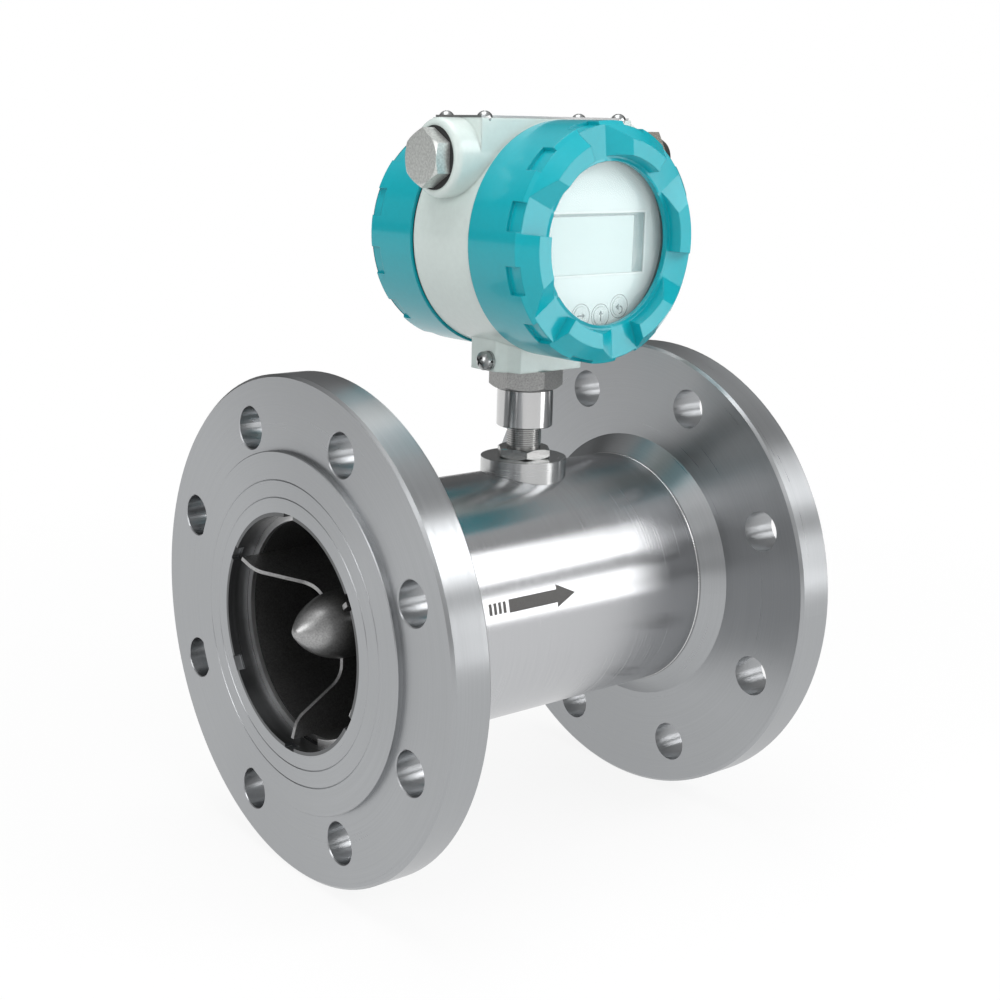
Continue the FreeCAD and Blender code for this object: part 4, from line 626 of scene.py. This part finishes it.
# The liquid crystal reads grey-green. The darker strip at its right end and along its top edge is painted
# shade, where the frame's recess shades it.
lcd_face, tree, shader = finish_of("liquid_crystal_window", Roughness=0.22, Coat_Weight=0.6,
                                   Coat_Roughness=0.05)
spot = node(tree, "ShaderNodeTexCoord").outputs["Object"]
split = node(tree, "ShaderNodeSeparateXYZ", {0: spot})
end = node(tree, "ShaderNodeMath", {"operation": "GREATER_THAN", 0: split.outputs["X"],
                                    1: lcd_low.x + SHADE_STRIP_START})
top_shade = node(tree, "ShaderNodeMath", {"operation": "GREATER_THAN", 0: split.outputs["Z"],
                                      1: lcd_high.z - TOP_SHADE_STRIP})
painted_shade_strips = node(tree, "ShaderNodeMath", {"operation": "MAXIMUM", 0: end.outputs[0], 1: top_shade.outputs[0]})
mottle = node(tree, "ShaderNodeTexNoise", {"Vector": spot, "Scale": 900.0, "Detail": 1.0})
pale = node(tree, "ShaderNodeMix", {"data_type": "RGBA", "Factor": mottle.outputs["Fac"],
                                    6: colour("#B7CDCC"), 7: colour("#C2D8D7")})
# The strips take a darker grey-green: painted shade.
shown = node(tree, "ShaderNodeMix", {"data_type": "RGBA", "Factor": painted_shade_strips.outputs[0], 6: pale.outputs[2],
                                     7: colour("#6F8A8A")})
tree.links.new(shown.outputs[2], shader.inputs["Base Color"])
dress(lcd_face, "lcd_glass")


def framed(bm, x0, x1, z0, z1, front):
    """A rectangular frame with a bevelled face, standing on the display plate."""
    shoulder = FRAME_HEIGHT - FRAME_BEVEL
    profile = ((0, 0), (0, shoulder), (FRAME_BEVEL, FRAME_HEIGHT), (FRAME_WIDTH - FRAME_BEVEL, FRAME_HEIGHT),
               (FRAME_WIDTH, shoulder), (FRAME_WIDTH, 0))
    sections = []
    for x, z, out_x, out_z in ((x0, z0, -1, -1), (x1, z0, 1, -1), (x1, z1, 1, 1), (x0, z1, -1, 1)):
        sections.append([(x + out * out_x, front - rise, z + out * out_z) for out, rise in profile])
    loops_to_faces(bm, sections, around=True)


bm = bmesh.new()
framed(bm, lcd_low.x, lcd_high.x, lcd_low.z, lcd_high.z, plate_low.y)
frame_plastic = grained("moulded_frame_plastic", "#EEF5F4", 0.4, 0.4, 0.004, metal=0.0, spread=0.02)
fit("display_frame", closed_mesh("display_frame", bm, 20), frame_plastic, "head", "module_plastic")
module_plastic = grained("moulded_module_plastic", "#C9CBCA", 0.5, 0.6, 0.01, metal=0.0, spread=0.05)
dress(module_plastic, "lcd_module")


# ---------------------------------------------------------------- keys
# Three round key caps stand through the film. Each has a printed ring round it and a grey arrow on
# it, to the right, up and back, and presses a black tactile switch behind.
INK = 0.03 * MM
RING_GAP = 0.25 * MM
RING_INK = 0.3 * MM
ARC_STEPS = 40
GLYPHS = {
    "key_1": [[(-2.3, -0.3), (0.6, -0.3), (0.6, -1.2), (2.4, 0.0), (0.6, 1.2), (0.6, 0.3), (-2.3, 0.3)]],
    "key_2": [[(-0.3, -2.3), (0.3, -2.3), (0.3, 0.6), (1.2, 0.6), (0.0, 2.4), (-1.2, 0.6), (-0.3, 0.6)]],
    "key_3": [[(-2.3, -0.2), (-0.4, 1.3), (-0.4, -1.7)]],
}
HOOK_RADIUS = 1.3
HOOK_LINE = 0.55
HOOK_ARC = (-100, 90)
HOOK_MIDDLE = (0.2, -0.2 - HOOK_LINE / 2 - HOOK_RADIUS + 0.3)
cap_plastic = grained("moulded_key_cap", "#DDE8E7", 0.4, 0.4, 0.004, metal=0.0, spread=0.02)
grey_ink = grained("grey_printing_ink", "#5E6B6C", 0.5, 0.3, 0.002, metal=0.0, spread=0.06)


def on_front(bm, front, u0, v0):
    """Stands flat shapes, drawn in millimetres, on a front face at a place."""
    for vert in bm.verts:
        vert.co = (u0 + vert.co.x * MM, front - vert.co.z * MM, v0 + vert.co.y * MM)


def arc_band(bm, radius, width, start, end, top, centre=(0.0, 0.0)):
    """A flat band along an arc, in millimetres and degrees."""
    full = abs(end - start) >= 360
    angles = [math.radians(start + (end - start) * i / ARC_STEPS) for i in range(ARC_STEPS + (not full))]
    sections = []
    for angle in angles:
        corners = ((radius, 0), (radius, top), (radius + width, top), (radius + width, 0))
        sections.append([(centre[0] + r * math.cos(angle), centre[1] + r * math.sin(angle), height)
                         for r, height in corners])
    loops_to_faces(bm, sections, around=full)


bm = bmesh.new()
for name in GLYPHS:
    cap_low, cap_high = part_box(name)
    cap_middle = (cap_low + cap_high) / 2
    ring = bmesh.new()
    arc_band(ring, (cap_high.x - cap_low.x) / 2 / MM + RING_GAP / MM, RING_INK / MM, 0, 360, INK / MM)
    on_front(ring, plate_low.y, cap_middle.x, cap_middle.z)
    drawn = closed_mesh("ring", ring)
    bm.from_mesh(drawn)
    bpy.data.meshes.remove(drawn)
    glyph = bmesh.new()
    for outline in GLYPHS[name]:
        plate(glyph, outline, INK / MM)
    if name == "key_3":
        arc_band(glyph, HOOK_RADIUS, HOOK_LINE, *HOOK_ARC, INK / MM, HOOK_MIDDLE)
    on_front(glyph, cap_low.y, cap_middle.x, cap_middle.z)
    fit(name + "_mark", closed_mesh(name + "_mark", glyph), grey_ink, name, "key_plastic")
fit("key_rings", closed_mesh("key_rings", bm), grey_ink, "head", "display_film")
dress(cap_plastic, *GLYPHS)
switch_plastic = grained("moulded_black_switch", "#1E1F21", 0.45, 0.5, 0.008, metal=0.0, spread=0.1)
dress(switch_plastic, "key_switches")


# ---------------------------------------------------------------- boards and terminals
# The display and main boards are glass-epoxy laminate under green solder mask, whose tracks show as
# a faint lighter pattern. Brass spacers and pillars hold them, and a green block takes the wires.
TRACK_PITCH = 2.5
board_green, tree, shader = finish_of("green_solder_mask", Roughness=0.3, Coat_Weight=0.4, Coat_Roughness=0.1)
spot = node(tree, "ShaderNodeTexCoord").outputs["Object"]
turned = node(tree, "ShaderNodeMapping", {"Vector": spot, "Rotation": (math.radians(90), 0, 0)})
tracks = node(tree, "ShaderNodeTexBrick", {"Vector": turned.outputs[0], "Scale": 1000 / TRACK_PITCH,
                                           "Color1": colour("#0F5A33"), "Color2": colour("#11643A"),
                                           "Mortar": colour("#2C8A56"), "Mortar Size": 0.08})
tree.links.new(tracks.outputs["Color"], shader.inputs["Base Color"])
emboss(tree, shader, tracks.outputs["Fac"], 0.03)
dress(board_green, "display_board", "main_board")
brass = grained("turned_brass", "#C9A24F", 0.25, 0.5, 0.004, spread=0.06)
dress(brass, "display_spacers", "board_pillars")
terminal_plastic = grained("moulded_green_nylon", "#2F7A4A", 0.5, 0.6, 0.01, metal=0.0, spread=0.08)
dress(terminal_plastic, "terminal_block")
zinc_plate = grained("zinc_plated_steel", "#A6A8A8", 0.28, 0.6, 0.006, spread=0.08)
dress(zinc_plate, "terminal_screws")


# ---------------------------------------------------------------- name plate and its screws
# A blank sheet of brushed stainless steel lies on top of the housing, held at its corners by four
# small pan-head screws with a cross recess. The screws stand at whatever angle they stopped at.
SCREW_HEAD = 5.4 * MM
SCREW_RISE = 1.9 * MM
SCREW_DOME = 3.6 * MM
RECESS_LENGTH = 3.0 * MM
RECESS_WIDTH = 0.75 * MM
RECESS_DEPTH = 1.1 * MM
SCREW_SHANK = 2.9 * MM
HEAD_MARGIN = 0.44 * MM
SHANK_SINK = -0.45
MERGE_WITHIN = 0.01 * MM
TURN_SEED = 7
top_low, top_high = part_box("top_plate")
screws_low, screws_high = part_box("top_plate_screws")
brushed, tree, shader = finish_of("brushed_sheet_steel", Metallic=1.0, Roughness=0.3)
spot = node(tree, "ShaderNodeTexCoord").outputs["Object"]
drawn = node(tree, "ShaderNodeVectorMath", {"operation": "MULTIPLY", 0: spot, 1: (30, 2500, 2500)})
lines = node(tree, "ShaderNodeTexNoise", {"Vector": drawn.outputs[0], "Scale": 1.0, "Detail": 2.0})
tint(tree, shader, "#9B9C9C", lines.outputs["Fac"], 0.08)
emboss(tree, shader, lines.outputs["Fac"], 0.01)
dress(brushed, "top_plate")


def input_of(tree, name, kind, value=None):
    """A named input of a geometry tree, with a default value where one is given."""
    made = tree.interface.new_socket(name=name, in_out="INPUT", socket_type=kind)
    if value is not None:
        made.default_value = value
    return made


def screw_tree(name):
    """A geometry tree: pan-head screws with a cross recess and a shank, at the corners of a rectangle."""
    tree = bpy.data.node_groups.new(name, "GeometryNodeTree")
    input_of(tree, "Geometry", "NodeSocketGeometry")
    for label in ("Head", "Rise", "Dome", "Recess Length", "Recess Width", "Recess Depth", "Shank",
                  "Shank Length", "Spacing Along", "Spacing Across"):
        input_of(tree, label, "NodeSocketFloat", 0.001)
    input_of(tree, "Finish", "NodeSocketMaterial")
    tree.interface.new_socket(name="Geometry", in_out="OUTPUT", socket_type="NodeSocketGeometry")
    given = node(tree, "NodeGroupInput").outputs

    def half(socket):
        return node(tree, "ShaderNodeMath", {"operation": "MULTIPLY", 0: socket, 1: 0.5}).outputs[0]

    def raised(mesh, height):
        lift = node(tree, "ShaderNodeCombineXYZ", {"Z": height})
        moved = node(tree, "GeometryNodeTransform", {"Geometry": mesh, "Translation": lift.outputs[0]})
        return moved.outputs[0]

    head = node(tree, "GeometryNodeMeshCylinder", {"Vertices": 48, "Radius": half(given["Head"]),
                                                   "Depth": given["Rise"]})
    dome = node(tree, "GeometryNodeMeshUVSphere", {"Segments": 48, "Rings": 48, "Radius": given["Dome"]})
    drop = node(tree, "ShaderNodeMath", {"operation": "SUBTRACT", 0: given["Rise"], 1: given["Dome"]})
    shank = node(tree, "GeometryNodeMeshCylinder", {"Vertices": 24, "Radius": half(given["Shank"]),
                                                    "Depth": given["Shank Length"]})
    sink = node(tree, "ShaderNodeMath", {"operation": "MULTIPLY", 0: given["Shank Length"], 1: SHANK_SINK})
    domed = node(tree, "GeometryNodeMeshBoolean", {"operation": "INTERSECT"})
    for part in (raised(head.outputs["Mesh"], half(given["Rise"])),
                 raised(dome.outputs["Mesh"], drop.outputs[0])):
        tree.links.new(part, domed.inputs["Mesh 2"])
    joined = node(tree, "GeometryNodeMeshBoolean", {"operation": "UNION"})
    for part in (domed.outputs["Mesh"], raised(shank.outputs["Mesh"], sink.outputs[0])):
        tree.links.new(part, joined.inputs["Mesh 2"])
    deep = node(tree, "ShaderNodeMath", {"operation": "MULTIPLY", 0: given["Recess Depth"], 1: 2.0})
    cut = node(tree, "GeometryNodeMeshBoolean", {"operation": "DIFFERENCE", "Mesh 1": joined.outputs["Mesh"]})
    for first, second in (("Recess Length", "Recess Width"), ("Recess Width", "Recess Length")):
        size = node(tree, "ShaderNodeCombineXYZ", {"X": given[first], "Y": given[second],
                                                   "Z": deep.outputs[0]})
        bar = node(tree, "GeometryNodeMeshCube", {"Size": size.outputs[0]})
        tree.links.new(raised(bar.outputs["Mesh"], given["Rise"]), cut.inputs["Mesh 2"])
    corners = node(tree, "GeometryNodeMeshGrid", {"Size X": given["Spacing Along"], "Vertices X": 2,
                                                  "Size Y": given["Spacing Across"], "Vertices Y": 2})
    places = node(tree, "GeometryNodeMergeByDistance", {"Geometry": corners.outputs["Mesh"],
                                                        "Distance": MERGE_WITHIN})
    angle = node(tree, "FunctionNodeRandomValue", {"data_type": "FLOAT_VECTOR", "Seed": TURN_SEED})
    angle.inputs["Min"].default_value = (0, 0, 0)
    angle.inputs["Max"].default_value = (0, 0, math.pi)
    screws = node(tree, "GeometryNodeInstanceOnPoints", {"Points": places.outputs["Geometry"],
                                                         "Instance": cut.outputs["Mesh"],
                                                         "Rotation": angle.outputs[0]})
    real = node(tree, "GeometryNodeRealizeInstances", {"Geometry": screws.outputs["Instances"]})
    finished = node(tree, "GeometryNodeSetMaterial", {"Geometry": real.outputs["Geometry"],
                                                      "Material": given["Finish"]})
    node(tree, "NodeGroupOutput", {"Geometry": finished.outputs["Geometry"]})
    return tree


def made_by(tree, name, values):
    """The plain mesh that a geometry tree makes from named values."""
    holder = bpy.data.objects.new(name + "_source", bpy.data.meshes.new(name))
    scene.collection.objects.link(holder)
    modifier = holder.modifiers.new(name, "NODES")
    modifier.node_group = tree
    for item in tree.interface.items_tree:
        if item.in_out == "INPUT" and item.name in values:
            modifier[item.identifier] = values[item.name]
    evaluated = holder.evaluated_get(bpy.context.evaluated_depsgraph_get())
    mesh = bpy.data.meshes.new_from_object(evaluated)
    bpy.data.objects.remove(holder)
    return mesh


def placed(mesh, matrix, name):
    """The mesh with a matrix applied, cleaned, with smooth round faces and sharp edges."""
    bm = bmesh.new()
    bm.from_mesh(mesh)
    bmesh.ops.transform(bm, matrix=matrix, verts=bm.verts)
    return closed_mesh(name, bm, 30)


pan_head = screw_tree("pan_head_screws")
plate_middle = (top_high + top_low) / 2
spacing = screws_high - screws_low
mesh = made_by(pan_head, "plate_screws", {
    "Head": SCREW_HEAD, "Rise": SCREW_RISE, "Dome": SCREW_DOME, "Recess Length": RECESS_LENGTH,
    "Recess Width": RECESS_WIDTH, "Recess Depth": RECESS_DEPTH, "Shank": SCREW_SHANK,
    "Shank Length": top_high.z - screws_low.z, "Spacing Along": spacing.x - SCREW_HEAD - HEAD_MARGIN,
    "Spacing Across": spacing.y - SCREW_HEAD - HEAD_MARGIN, "Finish": zinc_plate})
seat = Matrix.Translation((plate_middle.x, plate_middle.y, top_high.z))
fit("name_plate_screws", placed(mesh, seat, "name_plate_screws"), zinc_plate, "head", "plated_steel",
    "top_plate_screws")


# ---------------------------------------------------------------- earth screw
# A larger pan-head screw with a spring washer and a plain washer clamps an earth wire to a pad at
# the foot of the head, on the inlet side. All three are zinc-plated steel.
EARTH_DOME = 0.62
EARTH_RECESS_LENGTH = 0.55
EARTH_RECESS_WIDTH = 0.14
EARTH_RECESS_DEPTH = 1.6 * MM
EARTH_SHANK = 4.0 * MM
EARTH_TURN = math.radians(20)
earth_low, earth_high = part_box("earth_screw")
washer_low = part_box("earth_spring_washer")[0]
earth_head = earth_high.y - earth_low.y
mesh = made_by(pan_head, "earth_screws", {
    "Head": earth_head, "Rise": washer_low.x - earth_low.x, "Dome": earth_head * EARTH_DOME,
    "Recess Length": earth_head * EARTH_RECESS_LENGTH, "Recess Width": earth_head * EARTH_RECESS_WIDTH,
    "Recess Depth": EARTH_RECESS_DEPTH, "Shank": EARTH_SHANK, "Shank Length": earth_high.x - washer_low.x,
    "Spacing Along": 0.0, "Spacing Across": 0.0, "Finish": zinc_plate})
seat = (Matrix.Translation((washer_low.x, 0, (earth_low.z + earth_high.z) / 2))
        @ Matrix.Rotation(math.radians(-90), 4, "Y") @ Matrix.Rotation(EARTH_TURN, 4, "Z"))
fit("earth_pan_screw", placed(mesh, seat, "earth_pan_screw"), zinc_plate, "head", "plated_steel",
    "earth_screw")
dress(zinc_plate, "earth_washer", "earth_spring_washer")


# ---------------------------------------------------------------- conduit entries
# One entry is shut by a hexagon plug of speckled nickel-plated iron. The other has a nickel-plated
# brass cable gland with a rubber seal in it. Each screws down on a black rubber washer.
plug_plate = grained("nickel_plated_iron", "#C9CCC9", 0.34, 1.0, 0.03, metal=0.7, spread=0.18)
gland_plate = grained("nickel_plated_brass", "#C0BCB2", 0.22, 0.6, 0.004, spread=0.05)
dress(plug_plate, "blanking_plug")
dress(gland_plate, "gland_body", "gland_nut")
dress(black_rubber, "plug_gasket", "gland_gasket", "gland_seal")
